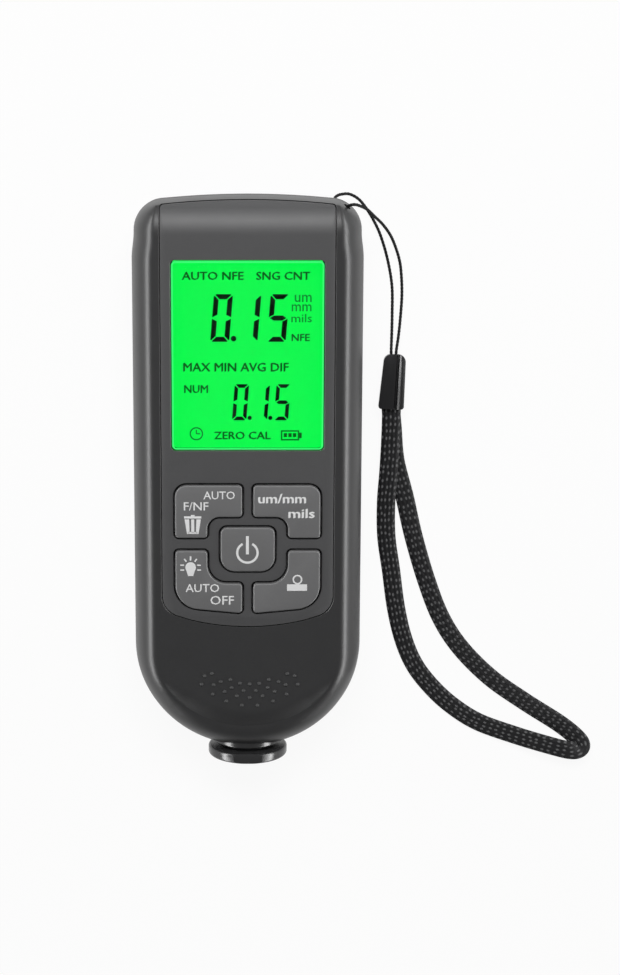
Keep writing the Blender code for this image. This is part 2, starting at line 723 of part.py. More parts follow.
def window_outline(clearance=0.0):
    corners = rectangle(
        WINDOW_HALF_WIDTH + clearance,
        WINDOW_LOW_Y - clearance,
        WINDOW_HIGH_Y + clearance,
        WINDOW_CORNER_RADIUS,
    )
    return rounded(corners, 3)


def screw_places():
    upper = (CASE_HALF_WIDTH - UPPER_SCREW_SIDE, CASE_TOP_Y - UPPER_SCREW_TOP)
    lower = (CASE_HALF_WIDTH - LOWER_SCREW_SIDE, CASE_END_Y + LOWER_SCREW_END)
    places = []
    for x, y in (upper, lower):
        places += [(-x, y), (x, y)]
    return places


def heights():
    """The levels of the stack behind the front, from the outside in."""
    z = {"front": CASE_THICKNESS}
    z["panel_back"] = z["front"] - PANEL_THICKNESS
    z["recess"] = z["panel_back"] - GAP
    z["lens_top"] = z["front"] - LENS_BELOW_PANEL
    z["lens_shoulder"] = z["recess"]
    z["lens_back"] = z["lens_shoulder"] - LENS_FLANGE_THICKNESS
    z["pocket"] = z["lens_back"] - GAP
    z["glass_top"] = z["lens_back"] - GAP
    z["glass_back"] = z["glass_top"] - GLASS_THICKNESS
    z["front_inside"] = z["front"] - FLOOR_UNDER_PANEL
    z["frame_top"] = z["front_inside"] - GAP
    z["key_flange_top"] = z["front_inside"] - GAP
    z["key_back"] = z["key_flange_top"] - KEY_FLANGE_THICKNESS
    z["cell_axis"] = DOOR_SET_BACK + DOOR_THICKNESS + GAP + CELL_RADIUS
    z["bay_roof"] = z["cell_axis"] + CELL_RADIUS + BAY_ROOF_GAP
    z["bay_top"] = z["bay_roof"] + BAY_WALL
    z["board_back"] = z["bay_top"] + GAP
    z["board_top"] = z["board_back"] + BOARD_THICKNESS
    z["within"] = z["front_inside"] - BEYOND
    z["above"] = z["front"] + 2 * BEYOND
    z["below"] = -BEYOND
    return z


Z = heights()


def through_channel(name):
    """A bent round channel through the right corner, which the lanyard cord passes."""
    made = []
    middle = Vector(CHANNEL_MIDDLE)
    for index, mouth in enumerate((Vector(CHANNEL_FRONT), Vector(CHANNEL_BACK))):
        run = middle - mouth
        length = run.length + CHANNEL_OVERLAP
        turn = Vector((0, 0, 1)).rotation_difference(run).to_matrix().to_4x4()
        place = Matrix.Translation(mouth / 1000.0) @ turn
        profile = [(0, 0), (CHANNEL_RADIUS, 0), (CHANNEL_RADIUS, length), (0, length)]
        made.append(lathe(f"cutter_{name}_{index}", profile, None, CHANNEL_SIDES, place))
    return made


def probe_bore_cutters(name):
    bore = NOSE_RADIUS + GAP
    end = FOOT_END_Y - BEYOND
    back = NOSE_WALL_Y + NOSE_FLANGE_THICKNESS
    bore_profile = [(0, back), (bore, back), (bore, end), (0, end)]
    face_profile = [(0, SPOT_FACE_Y), (SPOT_FACE_RADIUS, SPOT_FACE_Y), (SPOT_FACE_RADIUS, end), (0, end)]
    pocket = NOSE_FLANGE_RADIUS + GAP
    pocket_profile = [(0, NOSE_WALL_Y), (pocket, NOSE_WALL_Y), (pocket, NOSE_BACK_Y), (0, NOSE_BACK_Y)]
    return [
        lathe(f"cutter_{name}_flange", pocket_profile, None, ROUND_STEPS, along_y()),
        lathe(f"cutter_{name}_bore", bore_profile[::-1], None, ROUND_STEPS, along_y()),
        lathe(f"cutter_{name}_spot_face", face_profile[::-1], None, ROUND_STEPS, along_y()),
    ]


def front_height(y, rise):
    flat = CASE_THICKNESS - head_bend(y)
    return flat - rim_drop(y) * (1 - rise) - PARTING_Z - PARTING_GAP / 2


def front_inner_height(y, rise):
    return CASE_THICKNESS - FLOOR_UNDER_PANEL - head_bend(y) - PARTING_Z - PARTING_GAP / 2


def rear_height(y, rise):
    return PARTING_Z - PARTING_GAP / 2


def rear_inner_height(y, rise):
    return PARTING_Z - PARTING_GAP / 2 - WALL


def thumb_dots(surface):
    """All the dots in one mesh, each square to the surface it stands on."""
    profile = [
        (0, -THUMB_DOT_SINK),
        (THUMB_DOT_RADIUS, -THUMB_DOT_SINK),
        (THUMB_DOT_TOP_RADIUS, THUMB_DOT_RISE),
        (0, THUMB_DOT_RISE),
    ]
    bm = bmesh.new()
    for out, up in THUMB_DOTS:
        for x in {-out, out}:
            above = mm(x, CASE_END_Y + up, Z["above"])
            place, normal, index, distance = surface.ray_cast(above, Vector((0, 0, -1)))
            turn = Vector((0, 0, 1)).rotation_difference(normal).to_matrix().to_4x4()
            lathe_into(bm, profile, DOT_SIDES, Matrix.Translation(place) @ turn)
    return add_object("dots_thumb", mesh_from("dots_thumb", bm), None, True)


def make_front_cover(finish, keys):
    slope = [(0.3, 0.42), (0.65, 0.83), (1.0, 1.0)]
    base_z = PARTING_Z + PARTING_GAP / 2
    bm = bmesh.new()
    outer = skin_rings(outer_plan(), FRONT_ROLLS, front_height, FRONT_ROLL_STEPS, slope)
    inner = skin_rings(inner_plan(), INNER_ROLLS, front_inner_height, INNER_ROLL_STEPS)
    step = inner_plan(LIP_THICKNESS + GAP).ring(INNER_ROLLS, 0.0)
    shell_into(bm, outer, inner, step, LIP_HEIGHT - PARTING_GAP + GAP, base_z, 1)
    surface = BVHTree.FromBMesh(bm)
    cover = add_object("front_cover", mesh_from("front_cover", bm), finish)
    join(cover, thumb_dots(surface))
    boss_top = Z["front_inside"] + GAP
    for index, (x, y) in enumerate(screw_places()):
        place = Matrix.Translation(mm(x, y, 0))
        top = boss_top - head_bend(y + FRONT_BOSS_RADIUS)
        profile = [(0, base_z), (FRONT_BOSS_RADIUS, base_z), (FRONT_BOSS_RADIUS, top), (0, top)]
        join(cover, lathe(f"boss_front_{index}", profile, None, SMALL_ROUND_STEPS, place))
        pilot = SCREW_RADIUS + PILOT_GAP
        start = base_z - BEYOND
        end = SCREW_HEAD_Z + SCREW_LENGTH + PILOT_BEYOND_SCREW
        hole = [(0, start), (pilot, start), (pilot, end), (0, end)]
        cut(cover, lathe(f"cutter_pilot_{index}", hole, None, SMALL_ROUND_STEPS, place))
    recess = prism("cutter_recess", panel_outline(GAP), Z["within"], Z["above"])
    keep_inside(recess, bent_slab("cutter_recess_bend", PANEL_THICKNESS + GAP, -3 * BEYOND))
    cut(cover, recess)
    pocket_edge = LENS_FLANGE + GAP
    cut(cover, prism("cutter_lens_pocket", window_outline(pocket_edge), Z["pocket"], Z["above"]))
    cut(cover, prism("cutter_window", window_outline(GAP), Z["within"], Z["above"]))
    for name, outline in keys.items():
        cut(cover, prism(f"cutter_{name}", grown(outline, SLIDE_GAP), Z["within"], Z["above"]))
    cut(cover, *probe_bore_cutters("front"))
    cut(cover, *through_channel("front_channel"))
    return cover


def door_outline(clearance=0.0):
    return rounded(
        rectangle(
            BAY_HALF_WIDTH + DOOR_LIP + clearance,
            BAY_LOW_Y - DOOR_LIP - clearance,
            BAY_HIGH_Y + DOOR_LIP + clearance,
            DOOR_CORNER + clearance,
        ),
        4,
    )


def hook_x_places():
    return (-HOOK_X, HOOK_X)


def make_rear_cover(finish):
    base_z = PARTING_Z - PARTING_GAP / 2
    bm = bmesh.new()
    outer = skin_rings(outer_plan(), BACK_ROLLS, rear_height, BACK_ROLL_STEPS)
    inner = skin_rings(inner_plan(), INNER_ROLLS, rear_inner_height, INNER_ROLL_STEPS)
    lip = inner_plan(LIP_THICKNESS).ring(INNER_ROLLS, 0.0)
    shell_into(bm, outer, inner, lip, -LIP_HEIGHT, base_z, -1)
    cover = add_object("rear_cover", mesh_from("rear_cover", bm), finish)
    wall_outline = rounded(
        rectangle(BAY_HALF_WIDTH + BAY_WALL, BAY_LOW_Y - BAY_WALL, BAY_HIGH_Y + BAY_WALL, BAY_WALL_CORNER), 2
    )
    join(cover, prism("block_bay", wall_outline, WALL / 2, Z["bay_top"]))
    for index, (x, y) in enumerate(screw_places()):
        place = Matrix.Translation(mm(x, y, 0))
        profile = [(0, WALL / 2), (REAR_BOSS_RADIUS, WALL / 2), (REAR_BOSS_RADIUS, base_z), (0, base_z)]
        join(cover, lathe(f"boss_rear_{index}", profile, None, SMALL_ROUND_STEPS, place))
    bulkhead = rectangle(BULKHEAD_HALF_WIDTH, BULKHEAD_Y, BULKHEAD_Y + BULKHEAD_THICKNESS)
    join(cover, prism("block_bulkhead", rounded(bulkhead), WALL / 2, PARTING_Z + BULKHEAD_RISE))
    bay = rounded(rectangle(BAY_HALF_WIDTH, BAY_LOW_Y, BAY_HIGH_Y))
    cut(cover, prism("cutter_bay", bay, Z["below"], Z["bay_roof"]))
    door_seat = DOOR_SET_BACK + DOOR_THICKNESS + DOOR_GAP
    cut(cover, prism("cutter_door", door_outline(DOOR_GAP), Z["below"], door_seat))
    slot_low_y = BAY_LOW_Y - BAY_WALL - HOOK_REACH - GAP
    slot_high_y = BAY_LOW_Y + HOOK_FOOT
    slot_high_z = WALL + GAP + HOOK_THICKNESS + HOOK_SWING_ROOM
    for index, x in enumerate(hook_x_places()):
        half = HOOK_WIDTH / 2 + GAP
        slot = rectangle(half, slot_low_y, slot_high_y, 0.0, x)
        cut(cover, prism(f"cutter_hook_{index}", rounded(slot), door_seat, slot_high_z))
        foot = rectangle(half, BAY_LOW_Y - HOOK_FOOT - GAP, slot_high_y, 0.0, x)
        cut(cover, prism(f"cutter_hook_foot_{index}", rounded(foot), Z["below"], slot_high_z))
    for index, (x, y) in enumerate(screw_places()):
        place = Matrix.Translation(mm(x, y, 0))
        seat = SCREW_HEAD_Z + SCREW_HEAD_THICKNESS + GAP
        head = SCREW_HEAD_RADIUS + GAP
        shank = SCREW_RADIUS + GAP
        low = Z["below"]
        high = base_z + BEYOND
        hole = [(0, low), (head, low), (head, seat), (shank, seat), (shank, high), (0, high)]
        cut(cover, lathe(f"cutter_screw_{index}", hole, None, SMALL_ROUND_STEPS, place))
    cut(cover, *probe_bore_cutters("rear"))
    cut(cover, *through_channel("rear_channel"))
    return cover


def make_face_panel(finish, keys):
    panel = prism("face_panel", panel_outline(), Z["within"], Z["above"], finish)
    keep_inside(panel, bent_slab("panel_bend", PANEL_THICKNESS, 0.0))
    low = Z["within"] - BEYOND
    high = Z["above"] + BEYOND
    cut(panel, prism("cutter_panel_window", window_outline(GAP), low, high))
    for name, outline in keys.items():
        cut(panel, prism(f"cutter_panel_{name}", grown(outline, SLIDE_GAP), low, high))
    return panel


def make_lens(finish):
    bm = bmesh.new()
    wide = window_outline(LENS_FLANGE)
    narrow = window_outline()
    edge = grown(narrow, -LENS_EDGE)
    rings = [(wide, Z["lens_back"]), (wide, Z["lens_shoulder"]), (narrow, Z["lens_shoulder"])]
    rings += [(narrow, Z["lens_top"] - LENS_EDGE), (edge, Z["lens_top"])]
    stack_into(bm, rings)
    return add_object("display_lens", mesh_from("display_lens", bm), finish)


def make_display(glass_finish, light_finish, frame_finish, strip_finish):
    prism("lcd_glass", window_outline(-GLASS_INSET), Z["glass_back"], Z["glass_top"], glass_finish)
    low = Z["board_top"] + GAP
    high = Z["glass_back"] - GAP
    strip_y = WINDOW_LOW_Y + LIGHT_INSET
    strip = rectangle(WINDOW_HALF_WIDTH - STRIP_INSET, strip_y, strip_y + STRIP_WIDTH)
    prism("contact_strip", rounded(strip), low, high, strip_finish)
    light = rectangle(
        WINDOW_HALF_WIDTH - LIGHT_INSET,
        strip_y + STRIP_WIDTH + GAP,
        WINDOW_HIGH_Y - LIGHT_INSET,
        2 * LIGHT_EDGE,
    )
    prism("backlight", rounded(light, 2), low, high, light_finish, LIGHT_EDGE)
    frame_outline = rectangle(
        WINDOW_HALF_WIDTH + FRAME_SIDE_WALL,
        FRAME_LOW_Y,
        WINDOW_HIGH_Y + FRAME_UPPER_WALL,
        WINDOW_CORNER_RADIUS,
    )
    frame = prism("lcd_frame", rounded(frame_outline, 2), low, Z["frame_top"], frame_finish)
    cut(frame, prism("cutter_frame", window_outline(GAP), low - BEYOND, Z["above"]))


def make_keys(finish, keys):
    top = CASE_THICKNESS + KEY_PROUD
    for name, outline in keys.items():
        bm = bmesh.new()
        wide = grown(outline, KEY_FLANGE)
        edge = grown(outline, -KEY_EDGE)
        rings = [(wide, Z["key_back"]), (wide, Z["key_flange_top"]), (outline, Z["key_flange_top"])]
        rings += [(outline, top - KEY_EDGE), (edge, top)]
        stack_into(bm, rings)
        add_object(name, mesh_from(name, bm), finish)


def make_keypad_mat(finish):
    low = Z["board_top"] + GAP
    high = low + MAT_THICKNESS
    outline = rectangle(
        KEY_SIDE_X + MAT_MARGIN, LOWER_KEY_END_Y - MAT_MARGIN, FRAME_LOW_Y - MAT_ROOM, MAT_CORNER
    )
    mat = prism("keypad_mat", rounded(outline, 3), low, high, finish)
    plunger_top = Z["key_back"] - KEY_TRAVEL - MAT_PLUNGER_GAP
    foot = MAT_PLUNGER_RADIUS + MAT_FOOT
    middle = low + MAT_THICKNESS / 2
    for name, (x, y) in key_middles().items():
        profile = [(0, middle), (foot, middle), (foot, high), (MAT_PLUNGER_RADIUS, high + MAT_FOOT)]
        profile += [(MAT_PLUNGER_RADIUS, plunger_top), (0, plunger_top)]
        place = Matrix.Translation(mm(x, y, 0))
        join(mat, lathe(f"plunger_{name}", profile, None, SMALL_ROUND_STEPS, place))


def make_boards(board_finish, chip_finish):
    outline = rectangle(
        CASE_HALF_WIDTH - BOARD_SIDE_ROOM,
        CASE_END_Y + BOARD_END_ROOM,
        CASE_TOP_Y - BOARD_TOP_ROOM,
        BOARD_CORNER,
    )
    prism("main_board", rounded(outline, 3), Z["board_back"], Z["board_top"], board_finish)
    chip_high = Z["board_back"] - GAP
    chip_end = BAY_LOW_Y - BAY_WALL - CHIP_ROOM
    chip = rounded(rectangle(CHIP_SIZE / 2, chip_end - CHIP_SIZE, chip_end))
    prism("processor_chip", chip, chip_high - CHIP_THICKNESS, chip_high, chip_finish, CHIP_EDGE)


def make_battery_door(finish):
    low = DOOR_SET_BACK
    high = low + DOOR_THICKNESS
    door = prism("battery_door", door_outline(), low, high, finish, DOOR_EDGE)
    hook_high = WALL + GAP + HOOK_THICKNESS
    for index, x in enumerate(hook_x_places()):
        foot = rectangle(HOOK_WIDTH / 2, BAY_LOW_Y - HOOK_FOOT, BAY_LOW_Y, 0.0, x)
        join(door, prism(f"hook_foot_{index}", rounded(foot), low + DOOR_THICKNESS / 2, hook_high))
        tip = BAY_LOW_Y - BAY_WALL - HOOK_REACH
        reach = rectangle(HOOK_WIDTH / 2, tip, BAY_LOW_Y - HOOK_FOOT / 2, 0.0, x)
        join(door, prism(f"hook_{index}", rounded(reach), WALL + GAP, hook_high))
    for k in range(GRIP_COUNT):
        y = BAY_HIGH_Y - GRIP_START - GRIP_PITCH * k
        groove = rectangle(GRIP_HALF_LENGTH, y - GRIP_WIDTH / 2, y + GRIP_WIDTH / 2)
        cut(door, prism(f"cutter_grip_{k}", rounded(groove), Z["below"], low + GRIP_DEPTH))
    slot_y = BAY_HIGH_Y - LATCH_LENGTH
    for index, side in enumerate((-1, 1)):
        slot = rectangle(LATCH_SLOT_WIDTH / 2, slot_y, BAY_HIGH_Y, 0.0, side * LATCH_SLOT_X)
        cut(door, prism(f"cutter_latch_{index}", rounded(slot), Z["below"], high + BEYOND))


def make_cells(finish):
    """Two cells laid opposite ways, each with its nub against a contact plate."""
    can = CELL_LENGTH - CELL_NUB_LENGTH
    inset = CELL_RADIUS - CELL_EDGE
    profile = [(0, 0), (inset, 0), (CELL_RADIUS, CELL_EDGE), (CELL_RADIUS, can - CELL_EDGE), (inset, can)]
    profile += [(CELL_NUB_RADIUS, can), (CELL_NUB_RADIUS, CELL_LENGTH), (0, CELL_LENGTH)]
    flat_end = GAP + CONTACT_THICKNESS + GAP + CELL_SPRING_LENGTH + GAP
    start = BAY_LOW_Y + flat_end
    end = BAY_HIGH_Y - flat_end
    for name, side, flip, y in (("battery_1", -1, False, start), ("battery_2", 1, True, end)):
        place = Matrix.Translation(mm(0, y, 0)) @ along_y(side * CELL_SPACING / 2, Z["cell_axis"], flip)
        lathe(name, profile, finish, CELL_STEPS, place)


def close_tube(bm, rings):
    """Joins rings of vertices into a tube with flat ends."""
    bm.faces.new(rings[0][::-1])
    bm.faces.new(rings[-1])
    count = len(rings[0])
    for first, second in zip(rings, rings[1:]):
        for s in range(count):
            n = (s + 1) % count
            bm.faces.new((first[s], first[n], second[n], second[s]))


def coil_spring(name, radius, wire, turns, length, place, finish):
    """A helix of round wire along +Z from 0 to length, closed to a flat turn at each end."""
    count = int(turns * SPRING_STEPS)
    bm = bmesh.new()
    rings = []
    pitch_turns = turns - 1.0
    for k in range(count + 1):
        turn = turns * k / count
        climb = min(max(turn - 0.5, 0.0), pitch_turns) / pitch_turns
        angle = 2 * math.pi * turn
        height = wire + (length - 2 * wire) * climb
        out = Vector((math.cos(angle), math.sin(angle), 0.0))
        up = Vector((0.0, 0.0, 1.0))
        ring = []
        for s in range(SPRING_SIDES):
            around = 2 * math.pi * s / SPRING_SIDES
            point = out * (radius - wire + wire * math.cos(around)) + up * (height + wire * math.sin(around))
            ring.append(bm.verts.new(place @ (point / 1000.0)))
        rings.append(ring)
    close_tube(bm, rings)
    return add_object(name, mesh_from(name, bm), finish)


def make_contacts(plate_finish, spring_finish):
    """A plate at each end of the bay, and a spring on each that presses one cell on its nub."""
    low_z = Z["cell_axis"] - CONTACT_HALF_HEIGHT
    high_z = Z["cell_axis"] + CONTACT_HALF_HEIGHT
    lower_y = BAY_LOW_Y + GAP
    upper_y = BAY_HIGH_Y - GAP - CONTACT_THICKNESS
    for name, y in (("contact_plate_lower", lower_y), ("contact_plate_upper", upper_y)):
        outline = rounded(rectangle(BAY_HALF_WIDTH - GAP, y, y + CONTACT_THICKNESS))
        prism(name, outline, low_z, high_z, plate_finish)
    first = lower_y + CONTACT_THICKNESS + GAP
    last = upper_y - GAP
    for name, side, y, flip in (("battery_spring_1", -1, first, False), ("battery_spring_2", 1, last, True)):
        place = Matrix.Translation(mm(0, y, 0)) @ along_y(side * CELL_SPACING / 2, Z["cell_axis"], flip)
        turns = CELL_SPRING_TURNS
        wire = CELL_SPRING_WIRE
        coil_spring(name, CELL_SPRING_RADIUS, wire, turns, CELL_SPRING_LENGTH, place, spring_finish)


def make_probe_nose(finish):
    """The fixed ring that guides the probe, held by its flange in a pocket of the two covers."""
    bore = SLEEVE_RADIUS + SLIDE_GAP
    flange_low = NOSE_WALL_Y + GAP
    flange_high = flange_low + NOSE_FLANGE_THICKNESS
    profile = [
        (bore, NOSE_END_Y),
        (NOSE_RADIUS - NOSE_EDGE, NOSE_END_Y),
        (NOSE_RADIUS, NOSE_END_Y + NOSE_EDGE),
        (NOSE_RADIUS, flange_low),
        (NOSE_FLANGE_RADIUS, flange_low),
        (NOSE_FLANGE_RADIUS, flange_high),
        (NOSE_RADIUS, flange_high),
        (NOSE_RADIUS, NOSE_BACK_Y),
        (bore, NOSE_BACK_Y),
    ]
    lathe("probe_nose", profile, finish, ROUND_STEPS, along_y())


def make_probe_foot(foot_finish, ring_finish):
    """The foot with two flats and its sleeve, and the ring in its groove that stops it falling out."""
    ring_low = NOSE_BACK_Y + GAP
    ring_high = ring_low + RETAINER_THICKNESS
    groove = SLEEVE_RADIUS - GROOVE_DEPTH
    profile = [(SLEEVE_BORE_RADIUS, FOOT_END_Y)]
    for k in range(3):
        angle = math.pi / 2 * k / 2
        inwards = FOOT_FACE_EDGE * (1 - math.sin(angle))
        profile.append((FOOT_RADIUS - inwards, FOOT_END_Y + FOOT_FACE_EDGE * (1 - math.cos(angle))))
    profile += [
        (FOOT_RADIUS, FOOT_BACK_Y - FOOT_BACK_EDGE),
        (FOOT_RADIUS - FOOT_BACK_EDGE, FOOT_BACK_Y),
        (SLEEVE_RADIUS, FOOT_BACK_Y),
        (SLEEVE_RADIUS, ring_low - GAP),
        (groove, ring_low - GAP),
        (groove, ring_high + GAP),
        (SLEEVE_RADIUS, ring_high + GAP),
        (SLEEVE_RADIUS, SLEEVE_BACK_Y),
        (SLEEVE_BORE_RADIUS, SLEEVE_BACK_Y),
    ]
    foot = lathe("probe_foot", profile, foot_finish, ROUND_STEPS, along_y())
    flat = rounded(rectangle(FOOT_RADIUS + BEYOND, FOOT_END_Y - BEYOND, FOOT_BACK_Y + GAP / 2))
    above = PARTING_Z + FOOT_FLAT
    below = PARTING_Z - FOOT_FLAT
    cut(foot, prism("cutter_flat_above", flat, above, above + BEYOND))
    cut(foot, prism("cutter_flat_below", flat, below - BEYOND, below))
    ring = [(groove + GAP, ring_low), (RETAINER_RADIUS, ring_low), (RETAINER_RADIUS, ring_high)]
    ring.append((groove + GAP, ring_high))
    lathe("probe_retainer", ring, ring_finish, ROUND_STEPS, along_y())


def make_probe_core(core_finish, coil_finish):
    """A steel core with a domed tip that lies just behind the measuring face, in its winding."""
    shoulder = FOOT_END_Y + CORE_TIP_LENGTH
    back = SLEEVE_BACK_Y - CORE_END_SET_BACK
    tip = FOOT_END_Y + CORE_SET_BACK
    core = [(CORE_TIP_RADIUS * k / 2, tip + CORE_DOME_RISE * (k / 2) ** 2) for k in range(3)]
    core += [
        (CORE_TIP_RADIUS, shoulder),
        (CORE_RADIUS, shoulder),
        (CORE_RADIUS, back),
        (0, back),
    ]
    lathe("probe_core", core, core_finish, SMALL_ROUND_STEPS, along_y())
    low = shoulder + GAP
    high = back - GAP
    inner = CORE_RADIUS + GAP
    winding = COIL_RADIUS - COIL_DEPTH
    bobbin = [
        (inner, low),
        (COIL_RADIUS, low),
        (COIL_RADIUS, low + COIL_FLANGE),
        (winding, low + COIL_FLANGE),
        (winding, high - COIL_FLANGE),
        (COIL_RADIUS, high - COIL_FLANGE),
        (COIL_RADIUS, high),
        (inner, high),
    ]
    lathe("probe_coil", bobbin, coil_finish, SMALL_ROUND_STEPS, along_y())


def make_probe_spring(finish):
    place = Matrix.Translation(mm(0, SLEEVE_BACK_Y + GAP, 0)) @ along_y()
    turns = PROBE_SPRING_TURNS
    wire = PROBE_SPRING_WIRE
    coil_spring("probe_spring", PROBE_SPRING_RADIUS, wire, turns, PROBE_SPRING_LENGTH, place, finish)


def make_screws(finish):
    low = SCREW_HEAD_Z
    neck = low + SCREW_HEAD_THICKNESS
    end = low + SCREW_LENGTH
    profile = [
        (0, low + SCREW_RECESS_DEPTH),
        (SCREW_RECESS_RADIUS, low + SCREW_RECESS_DEPTH),
        (SCREW_RECESS_RADIUS, low),
        (SCREW_HEAD_RADIUS - SCREW_HEAD_EDGE, low),
        (SCREW_HEAD_RADIUS, low + SCREW_HEAD_EDGE),
        (SCREW_HEAD_RADIUS, neck),
        (SCREW_RADIUS, neck),
        (SCREW_RADIUS, end - SCREW_POINT_LENGTH),
        (SCREW_POINT_RADIUS, end),
        (0, end),
    ]
    for index, (x, y) in enumerate(screw_places()):
        place = Matrix.Translation(mm(x, y, 0))
        lathe(f"case_screw_{index + 1}", profile, finish, SMALL_ROUND_STEPS, place)


def smooth_route(points):
    """Points on a Catmull-Rom curve through the route's own points."""
    vectors = [Vector(p) for p in points]
    padded = [2 * vectors[0] - vectors[1]] + vectors + [2 * vectors[-1] - vectors[-2]]
    found = []
    for a, b, c, d in zip(padded, padded[1:], padded[2:], padded[3:]):
        for k in range(ROUTE_STEPS):
            t = k / ROUTE_STEPS
            bend = (2 * a - 5 * b + 4 * c - d) * t ** 2 + (3 * b - a - 3 * c + d) * t ** 3
            found.append(b + ((c - a) * t + bend) / 2)
    found.append(vectors[-1])
    return found


# From the ferrule over the table, up to the front of the corner, through it, out below the head
# end and back to the ferrule.
CORD_ROUTE = [
    (31.1, 26.0, 2.3),
    (31.5, 28.5, 1.6),
    (31.9, 32.0, 0.7),
    (32.2, 37.0, 0.4),
    (32.0, 41.5, 0.5),
    (31.2, 45.0, 1.4),
    (29.4, 49.4, 4.4),
    (27.4, 52.6, 8.4),
    (25.3, 55.1, 12.6),
    (23.6, 56.9, 16.4),
    (22.1, 57.8, 19.0),
    (21.1, 58.1, 20.1),
    (20.2, 57.6, 19.3),
    (19.5, 56.57, 16.9),
    (18.73, 55.41, 14.2),
    (18.15, 55.52, 11.6),
    (17.79, 56.72, 9.3),
    (17.5, 57.8, 7.2),
    (17.6, 58.4, 5.5),
    (18.5, 58.7, 4.2),
    (20.2, 58.6, 3.3),
    (22.2, 57.4, 2.7),
    (23.9, 55.4, 2.1),
    (25.5, 52.8, 1.5),
    (27.2, 49.6, 0.8),
    (28.7, 44.6, 0.4),
    (29.7, 39.0, 0.4),
    (30.1, 33.0, 0.7),
    (30.1, 28.5, 1.6),
    (30.0, 26.0, 2.3),
]

# Down the lower run, round the fold at the far end, and back over it to the ferrule.
STRAP_ROUTE = [
    (30.2, 13.0, 1.15),
    (30.6, 9.0, 0.85),
    (31.3, 2.0, 0.6),
    (33.4, -6.0, 0.6),
    (35.4, -14.5, 0.6),
    (38.3, -24.2, 0.6),
    (41.6, -32.6, 0.6),
    (46.0, -39.4, 0.6),
    (52.5, -46.0, 0.6),
    (60.0, -51.4, 0.6),
    (68.0, -56.6, 0.7),
    (73.2, -60.6, 1.6),
    (73.6, -61.9, 2.9),
    (71.0, -62.1, 3.7),
    (65.0, -60.6, 3.0),
    (57.5, -58.6, 1.5),
    (50.0, -56.0, 0.7),
    (44.4, -52.4, 0.6),
    (39.9, -48.2, 0.6),
    (36.1, -43.2, 0.6),
    (33.6, -37.4, 0.6),
    (31.9, -30.4, 0.6),
    (30.7, -22.0, 0.6),
    (29.6, -14.5, 0.9),
    (29.4, -7.0, 1.7),
    (29.8, 0.0, 2.3),
    (30.1, 7.0, 2.5),
    (30.2, 13.0, 2.75),
]


def make_cord(finish):
    curve = bpy.data.curves.new("cord_loop", "CURVE")
    curve.dimensions = "3D"
    curve.bevel_depth = CORD_DIAMETER / 2000
    curve.bevel_resolution = 2
    curve.use_fill_caps = True
    spline = curve.splines.new("POLY")
    route = smooth_route(CORD_ROUTE)
    spline.points.add(len(route) - 1)
    for point, place in zip(spline.points, route):
        point.co = (*(place / 1000.0), 1.0)
    add_object("cord_loop", curve, finish)


def make_strap(finish):
    """A flat section swept along the route: it stays level, and turns over where the strap folds."""
    route = smooth_route(STRAP_ROUTE)
    half_width = STRAP_WIDTH / 2
    half_thick = STRAP_THICKNESS / 2
    section = rounded(rectangle(half_width, -half_thick, half_thick, STRAP_EDGE), 1)
    level_enough = 0.6
    level_share = 0.7
    side = None
    rings = []
    bm = bmesh.new()
    for i, place in enumerate(route):
        ahead = (route[min(i + 1, len(route) - 1)] - route[max(i - 1, 0)]).normalized()
        wanted = Vector((-ahead.y, ahead.x, 0.0)) if side is None else side
        side = (wanted - ahead * wanted.dot(ahead)).normalized()
        flat = Vector((ahead.y, -ahead.x, 0.0))
        if flat.length > level_enough:
            flat.normalize()
            flat = flat if flat.dot(side) > 0 else -flat
            side = side.lerp(flat, level_share).normalized()
        up = side.cross(ahead)
        rings.append([bm.verts.new((place + side * a + up * b) / 1000.0) for a, b in section])
    close_tube(bm, rings)
    add_object("wrist_strap", mesh_from("wrist_strap", bm), finish)


def make_ferrule(finish):
    half = FERRULE_WIDTH / 2
    end = FERRULE_LENGTH / 2
    taper = FERRULE_CORNER / 2
    corners = [
        (half, -end, FERRULE_CORNER),
        (half - taper, end, FERRULE_SHOULDER),
        (-half + FERRULE_CORNER, end, FERRULE_SHOULDER),
        (-half, -end, FERRULE_CORNER),
    ]
    clip = prism("strap_ferrule", rounded(corners), 0.0, FERRULE_HEIGHT, finish, FERRULE_EDGE)
    turn = Matrix.Rotation(FERRULE_TURN, 4, "Z")
    clip.data.transform(Matrix.Translation(mm(*FERRULE_PLACE, 0)) @ turn)


